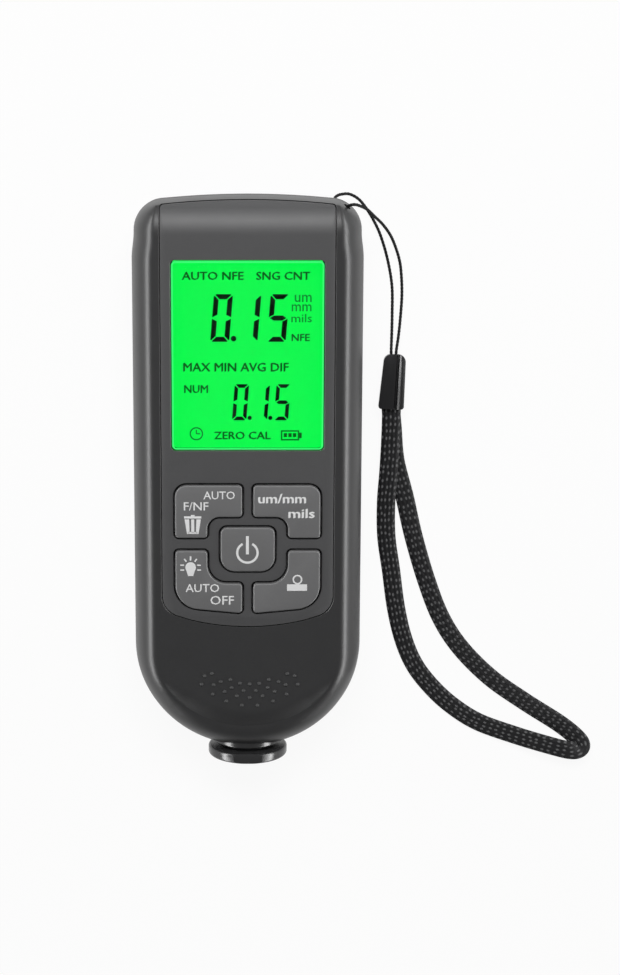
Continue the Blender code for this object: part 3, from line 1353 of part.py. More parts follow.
def main():
    for old in list(bpy.data.objects):
        bpy.data.objects.remove(old, do_unlink=True)
    case = material("case_plastic", (0.033, 0.034, 0.036), 0.42)
    panel = material("panel_plastic", (0.075, 0.076, 0.08), 0.5)
    key = material("key_plastic", (0.12, 0.121, 0.125), 0.5)
    lens = material("lens_plastic", (0.9, 0.95, 0.92), 0.05, 0.0, 1.0)
    lcd = material("lcd_green", (0.001, 0.95, 0.075), 0.3, 0.0, 0.0, 1.0)
    white = material("diffuser_plastic", (0.8, 0.82, 0.8), 0.4)
    inner = material("inner_plastic", (0.02, 0.02, 0.022), 0.5)
    rubber = material("keypad_rubber", (0.05, 0.05, 0.052), 0.8)
    strip = material("contact_rubber", (0.5, 0.15, 0.2), 0.7)
    board = material("board_laminate", (0.01, 0.12, 0.04), 0.35)
    chip = material("chip_resin", (0.015, 0.015, 0.015), 0.5)
    steel = material("spring_steel", (0.6, 0.6, 0.58), 0.25, 1.0)
    cell = material("cell_can", (0.35, 0.3, 0.1), 0.3, 0.6)
    gloss = material("nose_plastic", (0.02, 0.02, 0.022), 0.2)
    copper = material("coil_wire", (0.7, 0.3, 0.15), 0.35, 1.0)
    cord = material("cord_nylon", (0.012, 0.012, 0.013), 0.6)
    strap = material("strap_nylon", (0.02, 0.02, 0.022), 0.75)
    clip = material("clip_plastic", (0.012, 0.012, 0.014), 0.15)
    keys = key_outlines()
    make_front_cover(case, keys)
    make_rear_cover(case)
    make_face_panel(panel, keys)
    make_lens(lens)
    make_display(lcd, white, inner, strip)
    make_keys(key, keys)
    make_keypad_mat(rubber)
    make_boards(board, chip)
    make_battery_door(case)
    make_cells(cell)
    make_contacts(steel, steel)
    make_probe_nose(gloss)
    make_probe_foot(gloss, steel)
    make_probe_core(steel, copper)
    make_probe_spring(steel)
    make_screws(steel)
    make_cord(cord)
    make_strap(strap)
    make_ferrule(clip)


main()
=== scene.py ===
# %% [markdown]
# A handheld coating thickness gauge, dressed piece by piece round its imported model.
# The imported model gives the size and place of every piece. This lesson gives each piece its
# visible form and its finish: moulded shells, a lit display, printed keys, a cord and a braid.

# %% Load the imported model
import math

import bmesh
import bpy
from mathutils import Matrix, Vector


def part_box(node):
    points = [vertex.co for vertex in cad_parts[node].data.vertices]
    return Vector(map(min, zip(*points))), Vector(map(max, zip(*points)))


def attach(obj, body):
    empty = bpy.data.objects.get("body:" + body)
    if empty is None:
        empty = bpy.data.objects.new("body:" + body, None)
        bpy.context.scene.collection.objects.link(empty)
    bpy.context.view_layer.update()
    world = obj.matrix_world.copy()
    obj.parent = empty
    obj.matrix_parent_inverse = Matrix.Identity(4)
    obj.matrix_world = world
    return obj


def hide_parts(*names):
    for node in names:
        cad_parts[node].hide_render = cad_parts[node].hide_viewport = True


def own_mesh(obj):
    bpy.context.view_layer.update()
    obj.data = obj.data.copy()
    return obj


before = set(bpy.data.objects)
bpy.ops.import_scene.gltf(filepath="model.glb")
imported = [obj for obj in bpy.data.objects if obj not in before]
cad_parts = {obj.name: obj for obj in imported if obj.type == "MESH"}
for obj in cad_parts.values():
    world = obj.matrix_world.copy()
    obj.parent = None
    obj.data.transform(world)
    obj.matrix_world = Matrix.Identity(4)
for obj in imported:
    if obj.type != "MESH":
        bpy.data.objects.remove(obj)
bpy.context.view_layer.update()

MM = 0.001

# %% [markdown]
# The camera stands where the photographer's did: almost straight above the gauge, leaning a
# little towards the lanyard end. The lens is long, so the sides hardly converge. The frame is
# 620 pixels wide and 975 high, and the gauge sits left of its middle, which the shift gives.

# %% Camera
FRAME_WIDTH = 620
FRAME_HEIGHT = 975
FOCAL_PIXELS = 2200.8
AXIS_PIXEL = (247.7, 480.5)
CAMERA_TILT = math.radians(12.0)
CAMERA_DISTANCE = 456 * MM
CAMERA_AIM = Vector((0.0, 0.0, 12 * MM))

camera_data = bpy.data.cameras.new("camera")
camera_data.sensor_width = 36.0
camera_data.lens = 36.0 * FOCAL_PIXELS / FRAME_HEIGHT
camera_data.shift_x = (FRAME_WIDTH / 2 - AXIS_PIXEL[0]) / FRAME_HEIGHT
camera_data.shift_y = -(FRAME_HEIGHT / 2 - AXIS_PIXEL[1]) / FRAME_HEIGHT
camera_data.clip_start = 0.01
camera = bpy.data.objects.new("camera", camera_data)
camera.location = CAMERA_AIM + CAMERA_DISTANCE * Vector((0.0, math.sin(CAMERA_TILT), math.cos(CAMERA_TILT)))
camera.rotation_euler = (-CAMERA_TILT, 0.0, 0.0)
bpy.context.scene.collection.objects.link(camera)
bpy.context.scene.camera = camera
bpy.context.scene.view_settings.view_transform = "Standard"
print("camera lens", round(camera_data.lens, 2), "mm")

# %% [markdown]
# Small helpers come next. The new pieces start as Blender primitives or as outlines, and are
# shaped with the same operators that a person would use, so each helper only selects or applies.


# %% Helpers for operators
def only(obj):
    """Selects one object and nothing else."""
    if bpy.context.mode != "OBJECT":
        bpy.ops.object.mode_set(mode="OBJECT")
    bpy.ops.object.select_all(action="DESELECT")
    obj.select_set(True)
    bpy.context.view_layer.objects.active = obj


def smooth(obj, degrees=35):
    only(obj)
    bpy.ops.object.shade_smooth_by_angle(angle=math.radians(degrees))


def apply_place(obj):
    only(obj)
    bpy.ops.object.transform_apply(location=True, rotation=True, scale=True)


def apply_modifiers(obj):
    only(obj)
    for modifier in list(obj.modifiers):
        bpy.ops.object.modifier_apply(modifier=modifier.name)


def soften_edges(obj, width, segments, degrees):
    """Bevels the edges that turn by more than an angle, by a width in millimetres."""
    edge = obj.modifiers.new("edge", "BEVEL")
    edge.width = width * MM
    edge.segments = segments
    edge.angle_limit = math.radians(degrees)
    apply_modifiers(obj)


def placed(name, data):
    """A new object in the scene for a mesh or a light."""
    made = bpy.data.objects.new(name, data)
    bpy.context.scene.collection.objects.link(made)
    return made


def object_of(name, bm):
    """A new object from bmesh, with its faces turned outwards."""
    bmesh.ops.remove_doubles(bm, verts=bm.verts, dist=1e-7)
    bmesh.ops.recalc_face_normals(bm, faces=bm.faces)
    mesh = bpy.data.meshes.new(name)
    bm.to_mesh(mesh)
    bm.free()
    return placed(name, mesh)


def level(bm, outline, z):
    """The vertices of an outline at a height, in millimetres."""
    return [bm.verts.new((x * MM, y * MM, z * MM)) for x, y in outline]


def bridge(bm, first, second):
    """The faces between two closed rings with as many vertices each."""
    for i in range(len(first)):
        k = (i + 1) % len(first)
        bm.faces.new((first[i], first[k], second[k], second[i]))


def wear(obj, finish, body="case"):
    """Gives a piece its material and the body that it moves with."""
    obj.data.materials.clear()
    obj.data.materials.append(finish)
    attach(obj, body)


def cut_away(obj, *cutters, operation="DIFFERENCE"):
    for cutter in cutters:
        step = obj.modifiers.new(cutter.name, "BOOLEAN")
        step.operation = operation
        step.solver = "EXACT"
        step.object = cutter
    apply_modifiers(obj)
    for cutter in cutters:
        bpy.data.objects.remove(cutter, do_unlink=True)


# %% [markdown]
# Every finish is made of nodes, so three more helpers add a node, a sum or a noise to a tree.


# %% Helpers for finishes
def principled(name):
    made = bpy.data.materials.new(name)
    made.use_nodes = True
    return made, made.node_tree.nodes["Principled BSDF"]


def fill_inputs(tree, node, **values):
    """Gives inputs, named with underscores, a plain value or a link from another node's output."""
    for name, value in values.items():
        socket = node.inputs[name.replace("_", " ")]
        if isinstance(value, bpy.types.NodeSocket):
            tree.links.new(value, socket)
        else:
            socket.default_value = value
    return node


def add_node(tree, kind, **values):
    return fill_inputs(tree, tree.nodes.new("ShaderNode" + kind), **values)


def math_node(tree, operation, *values):
    node = add_node(tree, "Math")
    node.operation = operation
    for socket, value in zip(node.inputs, values):
        if isinstance(value, (int, float)):
            socket.default_value = value
        else:
            tree.links.new(value, socket)
    return node.outputs[0]


def noise_node(tree, coordinates, scale, detail=3.0, roughness=0.5):
    noise = add_node(tree, "TexNoise", Vector=coordinates, Scale=scale, Detail=detail, Roughness=roughness)
    return noise.outputs["Fac"]


print("finish helpers: add_node, math_node, noise_node")

# %% [markdown]
# The floor is a plain pale sheet. A broad light high up gives the level at which colours look as
# they are written, and a low one behind the head lights the bend of the panel. Two long strips
# stand low at the sides and draw the bright bands along the rolled edges. They are seen only in
# gloss, so that they don't make the flat faces paler.
# In front of the camera the floor is nearly white by itself, and it keeps a faint shadow.

# %% Floor, world and lights
FLOOR_SIZE = 3.0
WHITE_SHARE = 0.93             # of the floor's own white, where the camera or a gloss sees it
bpy.ops.mesh.primitive_plane_add(size=FLOOR_SIZE, location=(0.0, 0.0, 0.0))
floor = bpy.context.object
floor.name = "floor"
floor_finish, floor_shader = principled("floor_sheet")
tree = floor_finish.node_tree
fill_inputs(tree, floor_shader, Base_Color=(0.86, 0.86, 0.86, 1.0), Roughness=0.9, Specular_IOR_Level=0.0)
white = add_node(tree, "Emission", Color=(1.0, 1.0, 1.0, 1.0))
rays = add_node(tree, "LightPath").outputs
seen = math_node(tree, "MAXIMUM", rays["Is Camera Ray"], rays["Is Transmission Ray"])
seen = math_node(tree, "MAXIMUM", seen, rays["Is Glossy Ray"])
seen = math_node(tree, "MULTIPLY", seen, WHITE_SHARE)
blend = add_node(tree, "MixShader")
for output, socket in zip((seen, floor_shader.outputs[0], white.outputs[0]), blend.inputs):
    tree.links.new(output, socket)
tree.links.new(blend.outputs[0], tree.nodes["Material Output"].inputs["Surface"])
floor.data.materials.append(floor_finish)

world = bpy.data.worlds.new("studio")
world.use_nodes = True
fill_inputs(world.node_tree, world.node_tree.nodes["Background"], Color=(1.0, 1.0, 1.0, 1.0), Strength=0.16)
bpy.context.scene.world = world


def soft_light(name, place, aim, size, watts):
    data = bpy.data.lights.new(name, "AREA")
    data.shape = "RECTANGLE"
    data.size, data.size_y = size
    data.energy = watts
    made = placed(name, data)
    made.location = place
    made.rotation_euler = (Vector(aim) - Vector(place)).to_track_quat("-Z", "Y").to_euler()
    return made


MIDDLE = (0.0, 0.0, 12 * MM)
soft_light("light_above", (0.0, 0.48, 0.70), MIDDLE, (0.5, 0.25), 5.7)
soft_light("light_head", (0.0, 0.4, 0.06), MIDDLE, (0.5, 0.1), 0.3)
for side in (-1, 1):
    strip_light = soft_light("light_strip", (side * 0.36, -0.1, 0.16), (0.0, -0.1, 0.012), (0.8, 0.14), 5.0)
    strip_light.visible_diffuse = False
print("lights:", len(bpy.data.lights))

# %% [markdown]
# The lanyard has a thin twisted cord and a flat braid. Each follows a given route,
# through which a smooth curve is drawn. The cord is two plies laid round each other, so its
# section is two lobes that turn as they travel.


# %% Routes of the cord and the strap
CORD_ROUTE = [
    (31.0, 24.6, 2.4), (31.1, 26.0, 2.3), (31.5, 28.5, 1.6), (31.9, 32.0, 0.7), (32.2, 37.0, 0.4), (32.0, 41.5, 0.5),
    (31.4, 45.0, 1.4), (29.7, 49.4, 4.4), (27.7, 52.4, 8.4), (25.5, 54.7, 12.6), (23.8, 56.4, 16.4),
    (22.2, 57.3, 18.8), (21.1, 57.6, 19.9), (20.2, 57.35, 19.25), (19.5, 56.57, 16.9), (18.73, 55.41, 14.2),
    (18.15, 55.52, 11.6), (17.79, 56.72, 9.3), (17.7, 57.65, 7.2), (18.2, 58.15, 5.8), (19.2, 58.4, 4.5),
    (20.9, 58.35, 3.4), (22.8, 57.3, 2.7), (24.5, 55.3, 2.1), (26.1, 52.7, 1.5), (27.6, 49.5, 0.8),
    (29.1, 44.6, 0.4), (30.1, 39.0, 0.4),
    (30.2, 33.0, 0.7), (30.1, 28.5, 1.6), (30.0, 26.0, 2.3), (30.0, 24.6, 2.4),
]
STRAP_ROUTE = [
    (30.2, 14.6, 1.3), (30.2, 13.0, 1.15), (30.6, 9.0, 0.85), (31.3, 2.0, 0.6), (33.4, -6.0, 0.6), (35.4, -14.5, 0.6),
    (38.3, -24.2, 0.6), (41.6, -32.6, 0.6), (46.0, -39.4, 0.6), (52.5, -46.0, 0.6), (60.0, -51.4, 0.6),
    (68.0, -56.6, 0.7), (71.9, -59.8, 1.6), (72.2, -61.2, 2.9), (69.8, -61.5, 3.7), (64.6, -60.4, 3.0),
    (57.5, -58.6, 1.5), (50.0, -56.0, 0.7), (44.4, -52.4, 0.6), (39.9, -48.2, 0.6), (36.1, -43.2, 0.6),
    (33.6, -37.4, 0.6), (31.9, -30.4, 0.6), (30.7, -22.0, 0.6), (29.6, -14.5, 0.9), (29.4, -7.0, 1.7),
    (29.8, 0.0, 2.3), (30.1, 7.0, 2.5), (30.2, 13.0, 2.75), (30.2, 14.6, 2.85),
]
CORD_DIAMETER = 0.65 * MM
STRAP_WIDTH = 4.0 * MM
STRAP_THICKNESS = 1.1 * MM


def curve_through(route, spacing):
    """Points an even spacing apart on a Catmull-Rom curve through the route, in metres."""
    places = [Vector(p) * MM for p in route]
    padded = [2 * places[0] - places[1]] + places + [2 * places[-1] - places[-2]]
    fine = []
    for a, b, c, d in zip(padded, padded[1:], padded[2:], padded[3:]):
        for k in range(40):
            t = k / 40
            bend = (2 * a - 5 * b + 4 * c - d) * t ** 2 + (3 * b - a - 3 * c + d) * t ** 3
            fine.append(b + ((c - a) * t + bend) / 2)
    fine.append(places[-1])
    lengths = [0.0]
    for a, b in zip(fine, fine[1:]):
        lengths.append(lengths[-1] + (b - a).length)
    count = round(lengths[-1] / spacing)
    even = []
    at = 0
    for k in range(count + 1):
        wanted = lengths[-1] * k / count
        while at < len(fine) - 2 and lengths[at + 1] < wanted:
            at += 1
        part = (wanted - lengths[at]) / max(lengths[at + 1] - lengths[at], 1e-12)
        even.append(fine[at].lerp(fine[at + 1], min(max(part, 0.0), 1.0)))
    return even, lengths[-1]


def sweep(name, path, sides, section, laid_flat=False):
    """A tube of section points along the path, with a UV map: across in U, millimetres along in V."""
    bm = bmesh.new()
    uv_layer = bm.loops.layers.uv.new("UVMap")
    step = (path[1] - path[0]).length / MM
    side = None
    rings = []
    for i, place in enumerate(path):
        ahead = (path[min(i + 1, len(path) - 1)] - path[max(i - 1, 0)]).normalized()
        wanted = Vector((-ahead.y, ahead.x, 0.0)) if side is None else side
        side = (wanted - ahead * wanted.dot(ahead)).normalized()
        flat = Vector((ahead.y, -ahead.x, 0.0))
        if laid_flat and flat.length > 0.6:
            flat.normalize()
            flat = flat if flat.dot(side) > 0 else -flat
            side = side.lerp(flat, 0.15).normalized()
        up = side.cross(ahead)
        rings.append([bm.verts.new(place + side * a + up * b) for a, b in section(i * step)])
    bm.faces.new(rings[0][::-1])
    bm.faces.new(rings[-1])
    for i, (first, second) in enumerate(zip(rings, rings[1:])):
        for s in range(sides):
            n = (s + 1) % sides
            face = bm.faces.new((first[s], first[n], second[n], second[s]))
            corners = ((s, i), (s + 1, i), (s + 1, i + 1), (s, i + 1))
            for loop, (u, v) in zip(face.loops, corners):
                loop[uv_layer].uv = (u / sides, v * step)
    return object_of(name, bm)


# %% [markdown]
# The cord is 0.65 mm thick. Its round section swells twice on each turn where a ply passes.

# %% The cord
CORD_PLY_TURN = 1.5            # millimetres for a full turn of the two plies
CORD_SIDES = 14


def cord_section(along):
    twist = 2 * math.pi * along / CORD_PLY_TURN
    points = []
    for s in range(CORD_SIDES):
        around = 2 * math.pi * s / CORD_SIDES
        radius = CORD_DIAMETER / 2 * (0.82 + 0.18 * abs(math.cos(around - twist)))
        points.append((radius * math.cos(around), radius * math.sin(around)))
    return points


cord_path, cord_length = curve_through(CORD_ROUTE, 0.12 * MM)
cord = sweep("lanyard_cord", cord_path, CORD_SIDES, cord_section)
print("cord length", round(cord_length / MM, 1), "mm")

# %% [markdown]
# The wrist strap is a flat tubular braid. Its yarns run as short slanted floats in four
# columns, and neighbouring columns lean opposite ways, so the relief is made of slanted ridges.

# %% The strap
BRAID_COLUMNS = 4
BRAID_PITCH = 1.5              # millimetres between two floats of a column
BRAID_RELIEF = 0.09 * MM
STRAP_FACE_POINTS = 17
STRAP_EDGE_POINTS = 5


def braid_relief(across, along):
    """How high the yarn stands at a place: across from 0 to 1, along in millimetres."""
    column = min(int(across * BRAID_COLUMNS), BRAID_COLUMNS - 1)
    inside = across * BRAID_COLUMNS - column
    lean = inside if column % 2 == 0 else 1 - inside
    ridge = abs(math.sin(math.pi * (along / BRAID_PITCH + lean * 0.9 + column * 0.5)))
    return BRAID_RELIEF * (math.sin(math.pi * inside) ** 0.5 * (0.35 + 0.65 * ridge) - 0.6)


def strap_section(along):
    half_width = STRAP_WIDTH / 2
    half_thick = STRAP_THICKNESS / 2
    points = []
    for turn in (1, -1):
        for k in range(STRAP_FACE_POINTS):
            across = k / (STRAP_FACE_POINTS - 1)
            crown = 1 - 0.35 * abs(2 * across - 1) ** 4
            height = half_thick * crown + braid_relief(across, along + (0.5 if turn < 0 else 0.0))
            points.append((turn * (2 * across - 1) * (half_width - 0.25 * MM), -turn * height))
        for k in range(1, STRAP_EDGE_POINTS):
            angle = math.pi * k / STRAP_EDGE_POINTS
            reach = half_width - 0.25 * MM + 0.22 * MM * math.sin(angle)
            points.append((turn * reach, -turn * half_thick * 0.65 * math.cos(angle)))
    return points


STRAP_SIDES = 2 * (STRAP_FACE_POINTS + STRAP_EDGE_POINTS - 1)
strap_path, strap_length = curve_through(STRAP_ROUTE, 0.16 * MM)
strap = sweep("wrist_braid", strap_path, STRAP_SIDES, strap_section, laid_flat=True)
print("strap length", round(strap_length / MM, 1), "mm, faces", len(strap.data.polygons))

# %% [markdown]
# Moulded plastic is never one flat colour. The tool leaves a fine spark-eroded grain, the gloss
# varies where hands have been, and the shade drifts a little. One node group holds that, and
# each plastic places it with its own values.


# %% Node groups
def new_group(name, inputs, outputs):
    group = bpy.data.node_groups.new(name, "ShaderNodeTree")
    for socket, value in inputs:
        made = group.interface.new_socket(
            socket, in_out="INPUT", socket_type="NodeSocketColor" if isinstance(value, tuple) else "NodeSocketFloat"
        )
        made.default_value = value
    for socket, kind in outputs:
        group.interface.new_socket(socket, in_out="OUTPUT", socket_type=kind)
    return group, group.nodes.new("NodeGroupInput"), group.nodes.new("NodeGroupOutput")


def make_grain_group():
    inputs = [
        ("Colour", (0.05, 0.05, 0.05, 1.0)), ("Roughness", 0.45), ("Grain Scale", 2500.0),
        ("Shade Spread", 0.12), ("Gloss Spread", 0.06),
    ]
    outputs = [("Colour", "NodeSocketColor"), ("Roughness", "NodeSocketFloat"), ("Height", "NodeSocketFloat")]
    group, given, put = new_group("moulded_grain", inputs, outputs)
    given = given.outputs
    place = add_node(group, "TexCoord").outputs["Object"]
    fine = noise_node(group, place, given["Grain Scale"], 4.0, 0.6)
    broad = noise_node(group, place, 60.0, 2.0)
    rub = noise_node(group, place, 220.0, 5.0, 0.65)

    def spread(noise, amount, middle):
        return math_node(group, "MULTIPLY_ADD", math_node(group, "SUBTRACT", noise, 0.5), amount, middle)

    shade = spread(broad, given["Shade Spread"], 1.0)
    speck = spread(fine, given["Shade Spread"], shade)
    gloss = spread(rub, given["Gloss Spread"], given["Roughness"])
    tint = group.nodes.new("ShaderNodeVectorMath")
    tint.operation = "SCALE"
    group.links.new(given["Colour"], tint.inputs[0])
    group.links.new(speck, tint.inputs["Scale"])
    fill_inputs(group, put, Colour=tint.outputs[0], Roughness=spread(fine, 0.08, gloss), Height=fine)
    return group


GRAIN = make_grain_group()


def grained(name, colour, roughness, grain=2500.0, relief=0.01, shade=0.12, gloss=0.06, **plain):
    """A plastic, rubber or coated finish with the moulded grain, and plain values on the shader."""
    made, shader = principled(name)
    tree = made.node_tree
    used = tree.nodes.new("ShaderNodeGroup")
    used.node_tree = GRAIN
    for socket, value in zip(used.inputs, ((*colour, 1.0), roughness, grain, shade, gloss)):
        socket.default_value = value
    bump = add_node(tree, "Bump", Strength=0.5, Distance=relief * MM, Height=used.outputs["Height"])
    fill_inputs(tree, shader, Base_Color=used.outputs["Colour"], Roughness=used.outputs["Roughness"], **plain)
    tree.links.new(bump.outputs["Normal"], shader.inputs["Normal"])
    return made


# %% [markdown]
# The finishes of this gauge. The covers are charcoal with a satin shine, the panel and the keys
# are lighter greys, the foot of the probe and the clip are glossy black.

# %% Finishes
CASE = grained("case_charcoal", (0.028, 0.028, 0.029), 0.4, 2200.0, 0.012, Specular_IOR_Level=0.36)
# The grip dots are the covers' plastic in a lighter colour: the lighter colour is a painted highlight on their small
# domes.
GRIP_PAINTED_HIGHLIGHT = grained("grip_charcoal_painted_highlight", (0.060, 0.060, 0.061), 0.65, 2200.0, 0.012, Specular_IOR_Level=0.15)
PANEL = grained("panel_grey", (0.052, 0.052, 0.054), 0.48, 2600.0, 0.01)
KEY = grained("key_grey", (0.124, 0.124, 0.126), 0.5, 2600.0, 0.01)
GLOSS = grained("probe_black", (0.030, 0.030, 0.031), 0.24, 1500.0, 0.004)
CLIP = grained("clip_black", (0.018, 0.018, 0.019), 0.24, 1200.0, 0.004, Specular_IOR_Level=0.3)
PRINT = grained("white_print", (0.78, 0.78, 0.78), 0.55, 3000.0, 0.006, 0.06)
INNER = grained("holder_black", (0.02, 0.02, 0.022), 0.55)
MAT_RUBBER = grained("key_mat_rubber", (0.05, 0.05, 0.052), 0.8, 1800.0, 0.02)
STRIP_RUBBER = grained("contact_strip_rubber", (0.5, 0.15, 0.2), 0.7, 1800.0, 0.02)
BOARD = grained("board_green", (0.01, 0.12, 0.04), 0.35, 900.0, 0.01)
CHIP = grained("chip_resin", (0.015, 0.015, 0.015), 0.5)
DIFFUSER = grained("diffuser_white", (0.8, 0.82, 0.8), 0.4)
CELL = grained("cell_wrap", (0.3, 0.26, 0.09), 0.32, 700.0, 0.004, Metallic=0.5)
STEEL = grained("spring_steel", (0.55, 0.55, 0.54), 0.28, 900.0, 0.006, Metallic=1.0)
COPPER = grained("coil_copper", (0.7, 0.3, 0.15), 0.35, 900.0, 0.01, Metallic=1.0)
SCREW = grained("screw_black", (0.12, 0.12, 0.12), 0.38, 900.0, 0.006, Metallic=1.0)
CORD_FIBRE = grained("cord_fibre", (0.010, 0.010, 0.011), 0.7, 5200.0, 0.03, 0.5, Specular_IOR_Level=0.1)

# %% [markdown]
# The braid is black. The light that each of its floats catches at its crown is painted into
# its colour as a small pale fleck, a painted highlight. The flecks stand in the same columns as
# the floats. The pattern reads the strap's own UV map, so it travels with the strap round every bend.


# %% Braid finish
FLECKS_AROUND = 10.5           # columns of floats in a full turn of the UV map


def make_braid_finish():
    made, shader = principled("braid_black")
    tree = made.node_tree
    place = tree.nodes.new("ShaderNodeUVMap")
    place.uv_map = "UVMap"
    stretch = add_node(tree, "Mapping", Vector=place.outputs[0], Scale=(FLECKS_AROUND, 1 / BRAID_PITCH, 1.0))
    cells = add_node(tree, "TexVoronoi", Vector=stretch.outputs[0], Scale=1.0, Randomness=0.35)
    cells.voronoi_dimensions = "2D"
    # Pale at the middle of each cell and black at its edge: the painted highlight on each float.
    painted_fleck = add_node(tree, "ValToRGB", Fac=cells.outputs["Distance"])
    painted_fleck.color_ramp.interpolation = "EASE"
    painted_fleck.color_ramp.elements[0].position = 0.1
    painted_fleck.color_ramp.elements[0].color = (0.12, 0.12, 0.123, 1.0)
    painted_fleck.color_ramp.elements[1].position = 0.33
    painted_fleck.color_ramp.elements[1].color = (0.008, 0.008, 0.009, 1.0)
    fibre = add_node(tree, "TexNoise", Vector=stretch.outputs[0], Scale=30.0)
    bump = add_node(tree, "Bump", Strength=0.5, Distance=0.03 * MM, Height=fibre.outputs["Fac"])
    fill_inputs(tree, shader, Base_Color=painted_fleck.outputs["Color"], Roughness=0.6, Specular_IOR_Level=0.12)
    tree.links.new(bump.outputs["Normal"], shader.inputs["Normal"])
    return made


BRAID = make_braid_finish()
wear(cord, CORD_FIBRE)
smooth(cord, 80)
wear(strap, BRAID)
smooth(strap, 60)

# %% [markdown]
# The display glows green by itself, so its finish is light rather than paint. Its digits are
# thin dark meshes just above it, and the clear window lies over both.


# %% Display finishes
def make_lit(name, colour, strength):
    made, shader = principled(name)
    tree = made.node_tree
    drift = add_node(tree, "TexNoise", Vector=add_node(tree, "TexCoord").outputs["Object"], Scale=25.0)
    blend_colours = tree.nodes.new("ShaderNodeMix")
    blend_colours.data_type = "RGBA"
    blend_colours.inputs["A"].default_value = (*colour, 1.0)
    blend_colours.inputs["B"].default_value = (*(0.96 * c for c in colour), 1.0)
    tree.links.new(drift.outputs["Fac"], blend_colours.inputs["Factor"])
    dark = {"Base_Color": (0.004, 0.004, 0.004, 1.0), "Roughness": 0.5, "Specular_IOR_Level": 0.02}
    fill_inputs(tree, shader, Emission_Color=blend_colours.outputs["Result"], Emission_Strength=strength, **dark)
    return made


LIT_GREEN = make_lit("display_green", (0.0003, 0.95, 0.072), 1.0)
DIGIT_INK = grained("display_digits", (0.0006, 0.0035, 0.0008), 0.6, Specular_IOR_Level=0.05)
WORD_INK = make_lit("display_words", (0.0004, 0.085, 0.003), 1.0)
UNIT_INK = make_lit("display_units", (0.0006, 0.21, 0.012), 1.0)
# A paler green that glows by itself: a painted highlight of the display's light on the window's bevel.
EDGE_GLOW_PAINTED = make_lit("window_edge_painted_glow", (0.045, 0.98, 0.19), 0.97)
CLEAR, clear_shader = principled("window_clear")
tree = CLEAR.node_tree
scuffs = add_node(tree, "TexNoise", Vector=add_node(tree, "TexCoord").outputs["Object"], Scale=400.0)
scuff_range = tree.nodes.new("ShaderNodeMapRange")
fill_inputs(tree, scuff_range, Value=scuffs.outputs["Fac"], To_Min=0.0, To_Max=0.03)
fill_inputs(
    tree, clear_shader, Base_Color=(0.98, 1.0, 0.99, 1.0), Transmission_Weight=1.0, IOR=1.12,
    Roughness=scuff_range.outputs["Result"],
)
print("display finishes: 5, and the clear window")

# %% [markdown]
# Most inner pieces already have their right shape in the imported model, so they only put on a
# finish. Their meshes stay as they are.

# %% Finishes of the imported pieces
NODE_FINISHES = {
    "display_lens": CLEAR, "lcd_glass": LIT_GREEN, "backlight": DIFFUSER, "lcd_frame": INNER,
    "contact_strip": STRIP_RUBBER, "keypad_mat": MAT_RUBBER, "main_board": BOARD, "processor_chip": CHIP,
    "battery_1": CELL, "battery_2": CELL, "battery_spring_1": STEEL, "battery_spring_2": STEEL,
    "contact_plate_lower": STEEL, "contact_plate_upper": STEEL, "probe_core": STEEL, "probe_coil": COPPER,
    "probe_retainer": STEEL, "case_screw_1": SCREW, "case_screw_2": SCREW, "case_screw_3": SCREW,
    "case_screw_4": SCREW, "battery_door": CASE,
}
for node_name, finish in NODE_FINISHES.items():
    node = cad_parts[node_name]
    node.data.materials.clear()
    node.data.materials.append(finish)
print("packed pieces with a finish:", len(NODE_FINISHES))

# %% [markdown]
# The case is two moulded covers that meet at half their height. Seen from the front its plan is
# straight sides, an elliptical lower end and a head with rounded corners. A shell like this is
# drawn as rings: the same plan again and again, each a little further in and a little higher.
# Rings from a formula keep the roll of the edge even all round, which a bevel can't do here,
# because the roll is wider at the lower end than at the sides.

# %% Plan of the case
front_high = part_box("front_cover")[1]
foot_low, foot_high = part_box("probe_foot")
SIDE_X = front_high.x / MM
TOP_Y = front_high.y / MM
TIP_Y = foot_low.y / MM + 2.4
FACE_Z = 24.0
PARTING_Z = 12.0
HALF_GAP = 0.15
COVER_HEIGHT = FACE_Z - PARTING_Z - HALF_GAP
HEAD_Y = TOP_Y - 7.1
HEAD_BEND_RADIUS = 9.2
END_ARC_Y = TIP_Y + 22.9
HEAD_STEP = 0.45
HEAD_STEP_LENGTH = 5.0
TOP_SAG_RADIUS = 172.0
WALL = 1.8
NOSE_WALL_Y = TIP_Y + 6.4


def plan_of(side_x, head_x, tip_y, top_y, corner):
    """The right side of the plan from the tip to the middle of the head, as
    (place, normal, share of the end, whether it is on the head)."""
    points = []
    depth = END_ARC_Y - tip_y
    for k in range(49):
        angle = -math.pi / 2 + math.pi / 2 * k / 48
        normal = Vector((math.cos(angle) / side_x, math.sin(angle) / depth)).normalized()
        place = Vector((side_x * math.cos(angle), END_ARC_Y + depth * math.sin(angle)))
        points.append((place, normal, math.sin(angle) ** 2, False))
    corner_x = head_x - corner
    corner_y = top_y - corner_x ** 2 / (2 * TOP_SAG_RADIUS) - corner
    step_y = min(HEAD_Y, corner_y - 0.5)
    right = Vector((1.0, 0.0))
    straight = step_y - HEAD_STEP_LENGTH - END_ARC_Y
    for k in range(1, 28):
        points.append((Vector((side_x, END_ARC_Y + straight * k / 28)), right, 0.0, False))
    for k in range(7):
        t = k / 6
        x = side_x + (head_x - side_x) * (t * t * (3 - 2 * t))
        points.append((Vector((x, step_y - HEAD_STEP_LENGTH * (1 - t))), right, 0.0, False))
    for k in range(19):
        angle = math.radians(87) * k / 18
        normal = Vector((math.cos(angle), math.sin(angle)))
        points.append((Vector((corner_x, corner_y)) + corner * normal, normal, 0.0, True))
    last_x = points[-1][0].x
    for k in range(1, 13):
        x = last_x * (1 - k / 12)
        points.append((Vector((x, top_y - x ** 2 / (2 * TOP_SAG_RADIUS))), Vector((0.0, 1.0)), 0.0, True))
    return points


